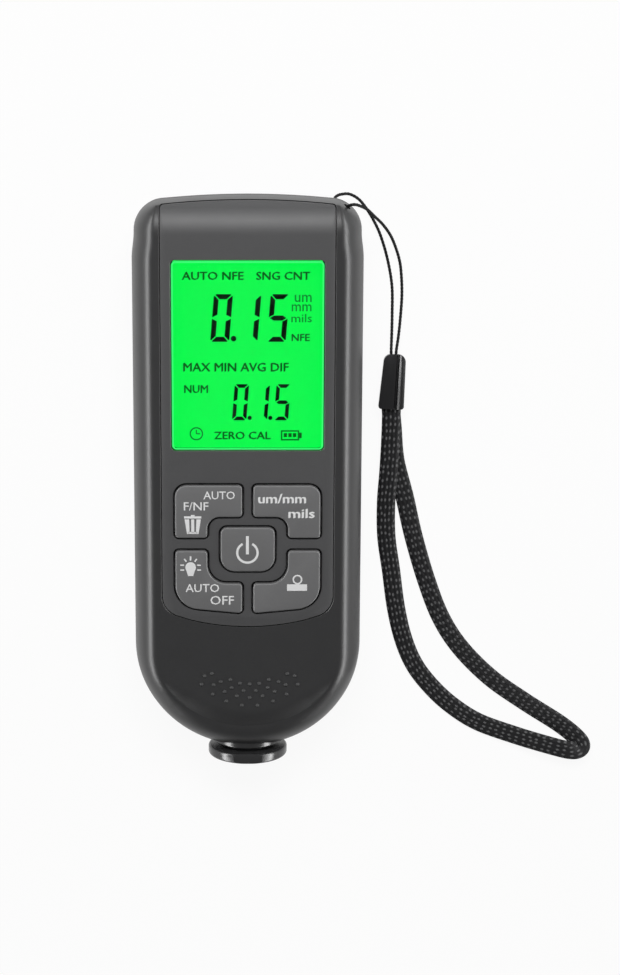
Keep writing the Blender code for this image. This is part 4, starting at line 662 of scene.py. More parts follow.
def ring_of(points, head_x, rolls, share, slope=0.0, thumb=4.2):
    """The closed plan, moved in by a share of its (side, end, head) rolls and then up a slope."""
    side_roll, end_roll, head_roll = rolls
    half = []
    for place, normal, end, on_head in points:
        if on_head:
            flat_x = min(place.x, head_x - side_roll)
            target = Vector((flat_x, place.y - head_roll * normal.y))
            further = Vector((-0.5 if flat_x > 0 else 0.0, -0.3 * normal.y))
        else:
            target = place - normal * (side_roll + (end_roll - side_roll) * end)
            further = -normal * (0.5 + (thumb - 0.5) * min(1.0, 2.5 * end))
        moved = place.lerp(target, share) + further * slope
        half.append((moved.x, moved.y))
    half[0] = (0.0, half[0][1])
    half[-1] = (0.0, half[-1][1])
    return half + [(-x, y) for x, y in half[-2:0:-1]]


def rim_drop(y):
    """The rim below the thumb rest lies lower than the face."""
    t = min(max((TIP_Y + 18.6 - y) / 9.0, 0.0), 1.0)
    return 1.5 * t * t * (3 - 2 * t)


def skin_of(points, head_x, rolls, height, steps, drop=0.0, slopes=0, edge=0.15):
    """Rings of (x, y, height above the parting plane), with a small softened edge at the parting."""
    rings = []
    for k in range(steps + 1):
        angle = math.pi / 2 * k / steps
        outline = ring_of(points, head_x, rolls, 1 - math.cos(angle))
        rings.append([(x, y, (height - drop * rim_drop(y)) * math.sin(angle)) for x, y in outline])
    if edge:
        first = ring_of(points, head_x, rolls, edge / rolls[0])
        rings[0] = [(x, y, 0.0) for x, y in first]
        rings.insert(1, [(x, y, edge) for x, y in ring_of(points, head_x, rolls, 0.0)])
    for k in range(1, slopes + 1):
        t = k / slopes
        outline = ring_of(points, head_x, rolls, 1.0, t)
        rise = math.sin(math.pi / 2 * t)
        rings.append([(x, y, height - drop * rim_drop(y) * (1 - rise)) for x, y in outline])
    return rings


def cup(name, outer, inner, base_z, turn):
    """A shell from two sets of rings: turn is 1 when it opens downwards and -1 when upwards."""
    bm = bmesh.new()
    rims = []
    for rings in (outer, inner):
        levels = [
            [bm.verts.new((x * MM, y * MM, (base_z + turn * z) * MM)) for x, y, z in ring] for ring in rings
        ]
        for lower, upper in zip(levels, levels[1:]):
            bridge(bm, lower, upper)
        top = levels[-1]
        for i in range(len(top) // 2):
            strip = dict.fromkeys((top[i], top[i + 1], top[-(i + 1)], top[-i] if i else top[0]))
            if len(strip) > 2:
                bm.faces.new(tuple(strip))
        rims.append(levels[0])
    bridge(bm, *rims)
    return object_of(name, bm)


# %% [markdown]
# Openings are cut with solid cutters. The opening cutter flares at the surface it comes out of, so
# the cut leaves the small chamfer that catches light round the opening.


# %% Outlines and cutters
def rounded(corners, steps=10):
    """An outline from (x, y, radius) corners, each rounded by its own arc."""
    outline = []
    for i, (x, y, radius) in enumerate(corners):
        here = Vector((x, y))
        before = (Vector(corners[i - 1][:2]) - here).normalized()
        after = (Vector(corners[(i + 1) % len(corners)][:2]) - here).normalized()
        half_angle = before.angle(after) / 2
        if radius <= 0 or half_angle > math.radians(89):
            outline.append((x, y))
            continue
        start = here + before * radius / math.tan(half_angle)
        end = here + after * radius / math.tan(half_angle)
        centre = here + (before + after).normalized() * radius / math.sin(half_angle)
        first = math.atan2(start.y - centre.y, start.x - centre.x)
        sweep_angle = math.atan2(end.y - centre.y, end.x - centre.x) - first
        sweep_angle = (sweep_angle + math.pi) % (2 * math.pi) - math.pi
        for k in range(steps + 1):
            angle = first + sweep_angle * k / steps
            outline.append((centre.x + radius * math.cos(angle), centre.y + radius * math.sin(angle)))
    return outline


def rectangle(half_width, low_y, high_y, radius=0.0, middle_x=0.0):
    left, right = middle_x - half_width, middle_x + half_width
    return [(right, low_y, radius), (right, high_y, radius), (left, high_y, radius), (left, low_y, radius)]


def grown(outline, distance):
    """The outline moved outwards along the mean of its edges' normals."""
    area = sum(a[0] * b[1] - b[0] * a[1] for a, b in zip(outline, outline[1:] + outline[:1]))
    turn = 1 if area > 0 else -1
    moved = []
    for i in range(len(outline)):
        before = (Vector(outline[i]) - Vector(outline[i - 1])).normalized()
        after = (Vector(outline[(i + 1) % len(outline)]) - Vector(outline[i])).normalized()
        normal_a = Vector((before.y, -before.x)) * turn
        normal_b = Vector((after.y, -after.x)) * turn
        middle = (normal_a + normal_b).normalized()
        moved.append(tuple(Vector(outline[i]) + middle * distance / max(middle.dot(normal_a), 0.4)))
    return moved


def stack(name, rings):
    """A solid from (outline, z) rings with as many points each, in millimetres."""
    bm = bmesh.new()
    levels = [level(bm, outline, z) for outline, z in rings]
    bm.faces.new(levels[0][::-1])
    bm.faces.new(levels[-1])
    for lower, upper in zip(levels, levels[1:]):
        bridge(bm, lower, upper)
    return object_of(name, bm)


def block(name, outline, low_z, high_z):
    return stack(name, [(outline, low_z), (outline, high_z)])


def opening(name, outline, low_z, surface_z, flare=0.2, beyond=3.0):
    """A cutter that widens by the flare over the last of its way up to the surface."""
    wide = grown(outline, flare)
    far = surface_z + beyond
    return stack(name, [(outline, low_z), (outline, surface_z - flare), (wide, surface_z), (wide, far)])


def rod(name, radius, start, end, sides=48):
    """A round cutter between two places given in millimetres."""
    start, end = Vector(start) * MM, Vector(end) * MM
    bpy.ops.mesh.primitive_cylinder_add(
        vertices=sides, radius=radius * MM, depth=(end - start).length, location=(start + end) / 2,
        rotation=(end - start).to_track_quat("Z", "Y").to_euler(),
    )
    made = bpy.context.object
    made.name = name
    apply_place(made)
    return made


def head_fall(y):
    """How far the face falls towards the head end at y, in millimetres."""
    past = min(max(y - HEAD_Y, 0.0), HEAD_BEND_RADIUS * 0.98)
    return HEAD_BEND_RADIUS - math.sqrt(HEAD_BEND_RADIUS ** 2 - past ** 2)


def bend_head(obj, sink):
    """Cuts the piece across at even steps of the head, and lets its points down along the bend.
    sink gives the share of the fall that a point at a height takes."""
    only(obj)
    bpy.ops.object.mode_set(mode="EDIT")
    for k in range(16):
        bpy.ops.mesh.select_all(action="SELECT")
        bpy.ops.mesh.bisect(plane_co=(0, (HEAD_Y + 7.2 * k / 16) * MM, 0), plane_no=(0, 1, 0))
    bpy.ops.object.mode_set(mode="OBJECT")
    for vert in obj.data.vertices:
        z = vert.co.z / MM
        vert.co.z -= head_fall(vert.co.y / MM) * sink(z) * MM


# %% [markdown]
# The grey panel lies in a shallow recess of the front cover. Its lower edge is an arc, and the
# display and the keys come up through it, so the outlines of all of these are drawn first.

# %% Outlines of the panel, the window and the keys
PANEL_X = SIDE_X - 6.2
PANEL_HIGH_Y = TOP_Y - 0.5
PANEL_LOW_Y = TIP_Y + 28.7
PANEL_ARC = 48.7
RECESS_DEPTH = 1.5
PANEL_THICKNESS = 1.2
FIT = 0.3
window_low, window_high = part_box("lcd_glass")
WINDOW_X = window_high.x / MM + 0.05
WINDOW_LOW_Y = window_low.y / MM - 0.05
WINDOW_HIGH_Y = window_high.y / MM + 0.05


def panel_outline(extra=0.0):
    half = PANEL_X + extra

    def low_y(x):
        return PANEL_LOW_Y - extra + PANEL_ARC - math.sqrt(PANEL_ARC ** 2 - x ** 2)

    def high_y(x):
        return PANEL_HIGH_Y + extra - x ** 2 / (2 * TOP_SAG_RADIUS)

    lower = [(half * k / 12, low_y(half * k / 12), 0.0) for k in range(-8, 9)]
    upper = [(half * k / 12, high_y(half * k / 12), 0.0) for k in range(10, -11, -2)]
    right = [(half, low_y(half), 4.4), (half, high_y(half), 0.6)]
    left = [(-half, high_y(half), 0.6), (-half, low_y(half), 4.4)]
    return rounded(lower + right + upper + left)


def window_outline(extra=0.0):
    return rounded(rectangle(WINDOW_X + extra, WINDOW_LOW_Y - extra, WINDOW_HIGH_Y + extra, 0.9), 6)


KEY_X = PANEL_X - 2.53
LEG_X = KEY_X - 6.67
MID_X = 1.05
KEY_Y = {"top": 1.64, "arm": -5.06, "leg": -9.4, "low_leg": -11.9, "low_arm": -18.75, "side_end": -23.9, "end": -25.2}
POWER_Y = (-7.06, -16.4)
POWER_X = LEG_X - 2.53
KEY_CORNER = 0.85
left_upper = [
    (-KEY_X, KEY_Y["top"], 2.4), (-KEY_X, KEY_Y["leg"], KEY_CORNER), (-LEG_X, KEY_Y["leg"], KEY_CORNER),
    (-LEG_X, KEY_Y["arm"], 2.4), (-MID_X, KEY_Y["arm"], KEY_CORNER), (-MID_X, KEY_Y["top"], KEY_CORNER),
]
left_lower = [
    (-KEY_X, KEY_Y["low_leg"], KEY_CORNER), (-KEY_X, KEY_Y["side_end"], 5.0), (-MID_X, KEY_Y["end"], KEY_CORNER),
    (-MID_X, KEY_Y["low_arm"], KEY_CORNER), (-LEG_X, KEY_Y["low_arm"], 3.8), (-LEG_X, KEY_Y["low_leg"], KEY_CORNER),
]
power_corners = [
    (-POWER_X, POWER_Y[0], 1.4), (-POWER_X, POWER_Y[1], 3.0), (POWER_X, POWER_Y[1], 3.0), (POWER_X, POWER_Y[0], 1.4),
]


def mirrored(corners):
    return [(-x, y, radius) for x, y, radius in reversed(corners)]


KEY_OUTLINES = {
    "key_mode": rounded(left_upper), "key_units": rounded(mirrored(left_upper)),
    "key_power": rounded(power_corners), "key_light": rounded(left_lower), "key_zero": rounded(mirrored(left_lower)),
}
KEY_BODIES = {
    "key_mode": "mode_button", "key_units": "units_button", "key_power": "power_button",
    "key_light": "light_button", "key_zero": "zero_button",
}

# %% [markdown]
# The front cover: its skin rises from the parting plane in a quarter of an ellipse. At the
# lower end a crease follows, and from there the thumb rest swells up to the flat face.

# %% Front cover
FRONT_ROLLS = (4.8, 6.9, 0.5)
INNER_ROLLS = (4.8, 0.5, 0.5)
outer_points = plan_of(SIDE_X, SIDE_X - HEAD_STEP, TIP_Y, TOP_Y, 6.2)
inner_half = SIDE_X - HEAD_STEP - WALL
inner_points = plan_of(inner_half, inner_half, NOSE_WALL_Y, TOP_Y - WALL, 11.0)
front_outer = skin_of(outer_points, SIDE_X - HEAD_STEP, FRONT_ROLLS, COVER_HEIGHT, 30, 1.0, 10)
front_inner = skin_of(inner_points, inner_half, INNER_ROLLS, COVER_HEIGHT - 3.0, 8, edge=0.0)
front = cup("front_shell", front_outer, front_inner, PARTING_Z + HALF_GAP, 1)
RECESS_Z = FACE_Z - RECESS_DEPTH
PROBE_BORE = 7.7
SPOT_FACE = 9.2
SPOT_FACE_Y = TIP_Y + 1.1
cut_away(front, opening("recess", panel_outline(0.22), RECESS_Z, FACE_Z, 0.08))
cut_away(front, block("lens_seat", window_outline(1.3), RECESS_Z - 0.9, FACE_Z))
cut_away(front, block("window_hole", window_outline(FIT), FACE_Z - 6.0, FACE_Z))
for name, outline in KEY_OUTLINES.items():
    cut_away(front, block(f"hole_{name}", grown(outline, FIT), FACE_Z - 6.0, FACE_Z))


def probe_cutters():
    axis = (0.0, TIP_Y - 6.0, PARTING_Z)
    return [
        rod("bore", PROBE_BORE, axis, (0.0, NOSE_WALL_Y + 1.0, PARTING_Z), 96),
        rod("spot_face", SPOT_FACE, axis, (0.0, SPOT_FACE_Y, PARTING_Z), 96),
        rod("flange_pocket", 8.9, (0.0, NOSE_WALL_Y, PARTING_Z), (0.0, NOSE_WALL_Y + 4.2, PARTING_Z), 96),
    ]


def channel_cutters():
    middle = Vector((SIDE_X - 5.15, TOP_Y - 4.15, PARTING_Z + 0.9))
    front_mouth = Vector((SIDE_X - 2.65, TOP_Y - 0.44, FACE_Z - 2.46))
    rear_mouth = Vector((SIDE_X - 6.42, TOP_Y + 0.13, PARTING_Z - 7.35))
    cutters = []
    for mouth in (front_mouth, rear_mouth):
        inner_end = middle + (middle - mouth).normalized() * 0.5
        cutters.append(rod("channel", 0.8, mouth, inner_end, 24))
    return cutters


cut_away(front, *probe_cutters())
bend_head(front, lambda z: max(z - PARTING_Z - HALF_GAP, 0.0) / COVER_HEIGHT)
cut_away(front, *channel_cutters())
smooth(front, 21)
wear(front, CASE)
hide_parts("front_cover")
print("front shell faces:", len(front.data.polygons))

# %% [markdown]
# The rear cover is the same plan with its own rolls. It carries the battery bay, whose walls
# stand up inside it, the recess of the door, the slots for the door's hooks, and the screws.

# %% Rear cover
BACK_ROLLS = (5.0, 5.0, 3.0)
rear_outer = skin_of(outer_points, SIDE_X - HEAD_STEP, BACK_ROLLS, COVER_HEIGHT, 24)
rear_inner = skin_of(inner_points, inner_half, INNER_ROLLS, COVER_HEIGHT - WALL, 8, edge=0.0)
rear = cup("rear_shell", rear_outer, rear_inner, PARTING_Z - HALF_GAP, -1)
plate_low, plate_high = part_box("contact_plate_lower")
upper_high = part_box("contact_plate_upper")[1]
BAY_X = plate_high.x / MM + FIT
BAY_LOW_Y = plate_low.y / MM - FIT
BAY_HIGH_Y = upper_high.y / MM + FIT
BAY_ROOF_Z = 12.55
BAY_WALL = 1.3
DOOR_SEAT_Z = 1.85
HOOK_TOP_Z = 4.1
HOOK_HALF_WIDTH = 2.3
BOSS_RADIUS = 3.7
SCREW_HEAD_RADIUS = 2.4
SCREW_SHANK_RADIUS = 1.4
bay_outline = rounded(rectangle(BAY_X + BAY_WALL, BAY_LOW_Y - BAY_WALL, BAY_HIGH_Y + BAY_WALL, 1.0), 4)
cut_away(rear, block("bay_walls", bay_outline, 0.9, BAY_ROOF_Z + BAY_WALL), operation="UNION")
SCREW_PLACES = [(x, y) for y in (TOP_Y - 6.4, TIP_Y + 24.1) for x in ((-15.0, 15.0) if y > 0 else (-16.0, 16.0))]
for x, y in SCREW_PLACES:
    cut_away(rear, rod("boss", BOSS_RADIUS, (x, y, 0.9), (x, y, PARTING_Z - HALF_GAP)), operation="UNION")
spring_low, spring_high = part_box("probe_spring")
bulkhead_y = spring_high.y / MM + FIT
bulkhead = block("bulkhead", rounded(rectangle(7.0, bulkhead_y, bulkhead_y + 1.6)), 0.9, PARTING_Z + 5.5)
cut_away(rear, bulkhead, operation="UNION")
cut_away(rear, block("bay", rounded(rectangle(BAY_X, BAY_LOW_Y, BAY_HIGH_Y)), -3.0, BAY_ROOF_Z))


def upside_down(obj):
    """Turns an opening cutter over, so that it flares towards the back of the case."""
    for vert in obj.data.vertices:
        vert.co.z = -vert.co.z
    obj.data.flip_normals()
    return obj


door_outline = rounded(rectangle(BAY_X + 1.25, BAY_LOW_Y - 1.25, BAY_HIGH_Y + 1.25, 2.25), 6)
cut_away(rear, upside_down(opening("door_recess", door_outline, -DOOR_SEAT_Z, 0.0, 0.25)))
for x in (-7.0, 7.0):
    for name, reach, low_z in (("hook_slot", BAY_WALL + 1.9, DOOR_SEAT_Z), ("hook_foot", 1.2, -3.0)):
        outline = rounded(rectangle(HOOK_HALF_WIDTH, BAY_LOW_Y - reach, BAY_LOW_Y + 0.9, 0.0, x))
        cut_away(rear, block(name, outline, low_z, HOOK_TOP_Z))
for x, y in SCREW_PLACES:
    cut_away(rear, rod("screw_head", SCREW_HEAD_RADIUS, (x, y, -1.0), (x, y, 2.8)))
    cut_away(rear, rod("screw_shank", SCREW_SHANK_RADIUS, (x, y, -1.0), (x, y, 14.0)))
    bpy.ops.mesh.primitive_cone_add(
        vertices=48, radius1=(SCREW_HEAD_RADIUS + 0.5) * MM, radius2=SCREW_HEAD_RADIUS * MM, depth=0.5 * MM,
        location=(x * MM, y * MM, 0.15 * MM),
    )
    countersink = bpy.context.object
    apply_place(countersink)
    cut_away(rear, countersink)
cut_away(rear, *probe_cutters())
cut_away(rear, *channel_cutters())
smooth(rear, 32)
wear(rear, CASE)
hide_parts("rear_cover")
print("rear shell faces:", len(rear.data.polygons))

# %% [markdown]
# The panel is a flat moulding with openings, bent down at the head with the case. It is cut
# flat first and bent afterwards, so that the openings stay true.

# %% Panel
panel_rings = [
    (panel_outline(0.03), FACE_Z - PANEL_THICKNESS), (panel_outline(0.03), FACE_Z - 0.12),
    (panel_outline(0.01), FACE_Z - 0.03), (grown(panel_outline(), -0.07), FACE_Z),
]
panel = stack("grey_panel", panel_rings)
cut_away(panel, opening("panel_window", window_outline(0.2), FACE_Z - 4.0, FACE_Z, 0.06))
for name, outline in KEY_OUTLINES.items():
    cut_away(panel, opening(f"panel_{name}", grown(outline, FIT), FACE_Z - 4.0, FACE_Z, 0.1))
bend_head(panel, lambda z: 1.0)
smooth(panel, 32)
wear(panel, PANEL)
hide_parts("face_panel")
print("panel faces:", len(panel.data.polygons))

# %% [markdown]
# Each key is a cap with a flange that keeps it under the cover, and a rounded rim above. The
# rim takes three small steps, so that it shows a soft bright line.

# %% Keys
KEY_FLANGE = 0.5               # how far the flange stands out
KEY_FLANGE_THICKNESS = 0.8
KEY_RIM = 0.32                 # radius of the rounded rim
for name, outline in KEY_OUTLINES.items():
    key_low, key_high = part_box(name)
    low_z, top_z = key_low.z / MM, key_high.z / MM - 0.03
    wide = grown(outline, KEY_FLANGE)
    slim = grown(outline, -0.07)
    flange_z = low_z + KEY_FLANGE_THICKNESS
    rim_z = top_z - KEY_RIM
    rings = [(wide, low_z), (wide, flange_z), (slim, flange_z), (slim, rim_z)]
    for k in range(1, 5):
        angle = math.pi / 2 * k / 4
        rings.append((grown(slim, -KEY_RIM * (1 - math.cos(angle))), rim_z + KEY_RIM * math.sin(angle)))
    key = stack(f"{name}_cap", rings)
    smooth(key, 32)
    wear(key, KEY, KEY_BODIES[name])
    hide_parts(name)
print("keys:", len(KEY_OUTLINES))

# %% [markdown]
# Thirty small raised dots on the thumb rest stop the thumb from slipping. One dot is a low
# dome, made once from a sphere. Its copies are set down on the cover's own surface.

# %% Grip dots
DOT_PLACES = [
    (-9.25, -38.4), (-7.75, -37.9), (-5.95, -39.65), (-3.95, -39.2), (-2.0, -40.0), (0.0, -40.15),
    (-9.9, -40.2), (-7.4, -40.3), (-3.7, -40.9), (-5.15, -41.75), (-1.25, -41.55), (-7.6, -42.3),
    (-2.65, -42.7), (0.0, -43.05), (-4.8, -43.8), (-1.6, -44.7),
]
bpy.ops.mesh.primitive_uv_sphere_add(segments=16, ring_count=10, radius=0.42 * MM, location=(0, 0, 0))
dome = bpy.context.object
dome.name = "grip_dots"
bpy.ops.object.mode_set(mode="EDIT")
bpy.ops.mesh.select_all(action="SELECT")
bpy.ops.mesh.bisect(plane_co=(0, 0, -0.12 * MM), plane_no=(0, 0, 1), clear_inner=True, use_fill=True)
bpy.ops.object.mode_set(mode="OBJECT")
dome_mesh = dome.data
dots = []
for x, y in DOT_PLACES + [(-x, y) for x, y in DOT_PLACES if x]:
    _, place, normal, _ = front.ray_cast(Vector(((x + 0.4) * MM, (y - 0.1) * MM, 0.05)), Vector((0, 0, -1)))
    dot = placed("dot", dome_mesh.copy())
    turn = normal.to_track_quat("Z", "Y").to_matrix().to_4x4()
    dot.data.transform(Matrix.Translation(place) @ turn @ Matrix.Diagonal((1.05, 0.9, 1.0, 1.0)))
    dots.append(dot)
bpy.data.objects.remove(dome, do_unlink=True)
only(dots[0])
for dot in dots[1:]:
    dot.select_set(True)
bpy.ops.object.join()
grip = bpy.context.object
grip.name = "grip_dots"
smooth(grip, 60)
# The dots take the lighter grip colour, a painted highlight.
wear(grip, GRIP_PAINTED_HIGHLIGHT)
print("grip dots:", len(dots))

# %% [markdown]
# The word marks on the display and the keys are text objects. A text is made a mesh first, and
# only then stretched to its measured box, because a mesh keeps its place when it is exported.
# Adding a copy that is shifted by a hair makes the strokes of the built-in face bolder.


# %% Helpers for words and marks
BOLD = (0.048, 0.034)          # the shift of the copy, as a share of the type's height
THIN = (0.014, 0.01)


def merge_and_face_out(obj):
    only(obj)
    bpy.ops.object.mode_set(mode="EDIT")
    bpy.ops.mesh.select_all(action="SELECT")
    bpy.ops.mesh.remove_doubles(threshold=1e-7)
    bpy.ops.mesh.normals_make_consistent(inside=False)
    bpy.ops.object.mode_set(mode="OBJECT")


def word(text, left, right, low, high, low_z, high_z, bold):
    """A word as a thin solid that fills a box given in millimetres, made bolder by a shifted copy."""
    bpy.ops.object.select_all(action="DESELECT")
    bpy.ops.object.text_add(location=(0, 0, 0))
    made = bpy.context.object
    made.data.body = text
    made.data.resolution_u = 2
    made.data.extrude = 0.5
    only(made)
    bpy.ops.object.convert(target="MESH")
    made = bpy.context.object
    merge_and_face_out(made)
    twin = placed("twin", made.data.copy())
    twin.data.transform(Matrix.Translation((bold[0], bold[1], 0.0)))
    cut_away(made, twin, operation="UNION")
    points = [vert.co.copy() for vert in made.data.vertices]
    least = [min(p[i] for p in points) for i in range(3)]
    most = [max(p[i] for p in points) for i in range(3)]
    start, end = (left, low, low_z), (right, high, high_z)
    for vert in made.data.vertices:
        for i in range(3):
            share_along = (vert.co[i] - least[i]) / (most[i] - least[i])
            vert.co[i] = (start[i] + (end[i] - start[i]) * share_along) * MM
    merge_and_face_out(made)
    return made


def arc_mark(x, y, radius, stroke, low_z, high_z, first=0.0, last=360.0, steps=40):
    """A flat ring, or an arc of one, in millimetres and degrees."""
    closed = last - first >= 360.0
    bm = bmesh.new()
    slices = []
    for k in range(steps if closed else steps + 1):
        angle = math.radians(first + (last - first) * k / steps)
        corners = ((radius - stroke, low_z), (radius, low_z), (radius, high_z), (radius - stroke, high_z))
        slices.append([
            bm.verts.new(((x + r * math.cos(angle)) * MM, (y + r * math.sin(angle)) * MM, z * MM)) for r, z in corners
        ])
    for first_slice, next_slice in zip(slices, slices[1:] + (slices[:1] if closed else [])):
        bridge(bm, first_slice, next_slice)
    if not closed:
        bm.faces.new(slices[0])
        bm.faces.new(slices[-1][::-1])
    return object_of("arc_mark", bm)


def stroke_mark(start, end, width, low_z, high_z):
    """A straight stroke between two places, in millimetres."""
    start, end = Vector(start), Vector(end)
    along = (end - start).normalized()
    side = Vector((-along.y, along.x)) * width / 2
    corners = (start - side, end - side, end + side, start + side)
    return block("stroke_mark", [tuple(p) for p in corners], low_z, high_z)


def arc_points(x, y, radius, degrees):
    return [(x + radius * math.cos(math.radians(a)), y + radius * math.sin(math.radians(a))) for a in degrees]


def disc_mark(x, y, radius, low_z, high_z):
    return block("disc_mark", arc_points(x, y, radius, range(0, 360, 15)), low_z, high_z)


def words(rows, layer, bold=BOLD):
    """Words from (text, left, right, low, high) rows, between the two heights of a layer."""
    return [word(*row, *layer, bold) for row in rows]


def strokes(rows, layer):
    """Strokes from (start x, start y, end x, end y, width) rows."""
    return [stroke_mark(row[:2], row[2:4], row[4], *layer) for row in rows]


def joined(name, pieces):
    only(pieces[0])
    for piece in pieces[1:]:
        piece.select_set(True)
    bpy.ops.object.join()
    made = bpy.context.object
    made.name = name
    made.data.name = name
    return made


# %% [markdown]
# The digits have seven segments each, with mitred ends and a hair's gap between them, and they
# lean a little to the right. Each digit is set from one drawing of the segments.


# %% Segments of a digit
SEGMENTS_OF = {"0": "abcdef", "1": "bc", "5": "afgcd"}


def segment_outlines(width, height, stroke, gap):
    half = height / 2
    below = height - stroke
    top = [(gap, height), (stroke + gap, below), (width - stroke - gap, below), (width - gap, height)]
    left = [(0, height - gap), (0, half + gap), (stroke, half + gap + stroke / 2), (stroke, height - stroke - gap)]
    middle = [
        (gap * 1.5, half), (stroke, half - stroke / 2), (width - stroke, half - stroke / 2), (width - gap * 1.5, half),
        (width - stroke, half + stroke / 2), (stroke, half + stroke / 2),
    ]

    def across(outline):
        return [(width - x, y) for x, y in outline]

    def over(outline):
        return [(x, height - y) for x, y in outline]

    return {
        "a": top, "b": across(left), "c": over(across(left)), "d": over(top), "e": over(left), "f": left, "g": middle,
    }


def blunted(outline, cut):
    """The outline with its sharp tips cut off."""
    points = []
    for i in range(len(outline)):
        here = Vector(outline[i])
        before = (Vector(outline[i - 1]) - here).normalized()
        after = (Vector(outline[(i + 1) % len(outline)]) - here).normalized()
        sharp = before.angle(after) < math.radians(60)
        points += [tuple(here + before * cut), tuple(here + after * cut)] if sharp else [tuple(here)]
    return points


def digits(text, left, low, width, height, pitch, stroke, lean, low_z, high_z):
    pieces = []
    drawn = segment_outlines(width, height, stroke, 0.16)
    for k, digit in enumerate(text):
        for letter in SEGMENTS_OF[digit]:
            outline = blunted(drawn[letter], 0.26 * stroke)
            outline = [(left + k * pitch + x + lean * y, low + y) for x, y in outline]
            pieces.append(block("segment", outline, low_z, high_z))
    return pieces


print("digit drawings:", len(SEGMENTS_OF))

# %% [markdown]
# What the display shows is printed in one thin layer between its glass and the window. The
# readings and the words are near black, while the three units are a lighter green, because a
# liquid crystal that is switched off still shows a little.

# %% Marks on the display
MARK_LOW_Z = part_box("lcd_glass")[1].z / MM + 0.01
LAYER = (MARK_LOW_Z, MARK_LOW_Z + 0.04)
display_words = words([
    ("AUTO NFE", -13.12, -0.77, 42.83, 44.49), ("SNG CNT", 1.67, 12.44, 42.83, 44.49),
    ("NFE", 8.76, 12.43, 30.58, 32.03), ("MAX MIN AVG DIF", -12.94, 8.24, 24.41, 26.21),
    ("NUM", -12.78, -7.95, 20.05, 21.68), ("ZERO CAL", -6.78, 4.66, 10.58, 12.18),
], LAYER)
display_units = words([
    ("um", 9.37, 12.74, 38.42, 39.9), ("mm", 8.78, 12.72, 36.59, 37.98), ("mils", 8.71, 12.81, 34.36, 36.03),
], LAYER, THIN)
clock = [arc_mark(-10.35, 11.73, 1.34, 0.22, *LAYER)]
clock += strokes([(-10.35, 11.66, -10.35, 12.5, 0.2), (-10.27, 11.73, -9.6, 11.73, 0.2)], LAYER)
charge = strokes([
    (6.72, 10.5, 10.37, 10.5, 0.26), (6.72, 12.3, 10.37, 12.3, 0.26), (6.85, 10.63, 6.85, 12.17, 0.26),
    (10.24, 10.63, 10.24, 12.17, 0.26), (10.64, 10.82, 10.64, 11.95, 0.5),
] + [(x, 11.05, x, 11.85, 0.66) for x in (7.61, 8.53, 9.45)], LAYER)
reading = digits("015", -7.5, 30.44, 3.78, 9.56, 5.65, 1.0, 0.083, *LAYER) + [disc_mark(-2.82, 31.08, 0.55, *LAYER)]
count = digits("015", -3.16, 14.5, 2.88, 7.35, 4.2, 0.74, 0.077, *LAYER)
count += [disc_mark(0.4, 14.99, 0.42, *LAYER), disc_mark(4.55, 14.99, 0.42, *LAYER)]
for name, pieces, finish in (
    ("display_digits", reading + count, DIGIT_INK), ("display_words", display_words + clock + charge, WORD_INK),
    ("display_units", display_units, UNIT_INK),
):
    wear(joined(name, pieces), finish)
print("display marks between z", [round(z, 2) for z in LAYER], "mm")

# %% [markdown]
# The bevel round the clear window catches the display's green light and shows as a paler line.
# That light is painted: a thin closed strip that glows a paler green by itself lies on the
# imported window's own bevel.

# %% Painted glow on the bevel of the window
LENS_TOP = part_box("display_lens")[1].z / MM
STRIP_SECTION = [               # how far in and how far down, in millimetres
    (0.02, 0.33), (0.02, 0.31), (0.33, 0.0), (0.37, 0.0), (0.37, -0.015), (0.32, -0.015), (0.0, 0.31), (0.0, 0.33),
]
strip_rings = [(grown(window_outline(), -inset), LENS_TOP - drop) for inset, drop in STRIP_SECTION]
bm = bmesh.new()
levels = [level(bm, outline, z) for outline, z in strip_rings]
for first, second in zip(levels, levels[1:] + levels[:1]):
    bridge(bm, first, second)
window_edge_glow = object_of("window_bevel_painted_glow", bm)
wear(window_edge_glow, EDGE_GLOW_PAINTED)
print("window bevel faces:", len(window_edge_glow.data.polygons))

# %% [markdown]
# The keys are printed in white, each with the plain names and signs of what it does. All the
# print of one key is a single thin piece that moves with the key.

# %% Print on the keys
PRINT_HIGH_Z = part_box("key_mode")[1].z / MM
INKED = (PRINT_HIGH_Z - 0.05, PRINT_HIGH_Z)
bin_sign = strokes([
    (-12.85, -4.98, -9.38, -4.98, 0.44), (-11.5, -4.63, -10.72, -4.63, 0.3), (-12.0, -8.2, -10.23, -8.2, 0.42),
    (-11.12, -5.38, -11.12, -8.1, 0.62),
], INKED)
bin_sign += [
    block("bin_left", [(-12.75, -5.38), (-11.85, -5.38), (-11.75, -8.0), (-11.95, -8.42), (-12.3, -8.42)], *INKED),
    block("bin_right", [(-9.48, -5.38), (-9.93, -8.42), (-10.28, -8.42), (-10.48, -8.0), (-10.38, -5.38)], *INKED),
]
mode_words = [("AUTO", -8.94, -2.58, -1.24, 0.41), ("F/NF", -12.91, -7.93, -3.54, -1.82)]
mode_print = bin_sign + words(mode_words, INKED, THIN)
units_print = words([("um/mm", 2.1, 11.8, -2.1, -0.08), ("mils", 8.21, 13.57, -5.15, -3.19)], INKED)
power_print = [arc_mark(-0.06, -12.33, 2.3, 0.47, *INKED, first=118, last=422)]
power_print += strokes([(-0.06, -8.87, -0.06, -12.67, 0.6)], INKED)
LAMP_X = -11.6
bulb_outline = arc_points(LAMP_X, -15.4, 1.08, range(-35, 216, 10)) + [(-12.12, -17.2), (-11.08, -17.2)]
rays_of_light = [(LAMP_X, -13.08, LAMP_X, -13.95, 0.34)]
for side in (-1, 1):
    rays_of_light.append((LAMP_X + side * 1.28, -13.6, LAMP_X + side * 0.86, -14.18, 0.3))
    rays_of_light += [(LAMP_X + side * 2.1, y, LAMP_X + side * 1.32, y, 0.28) for y in (-14.93, -15.95)]
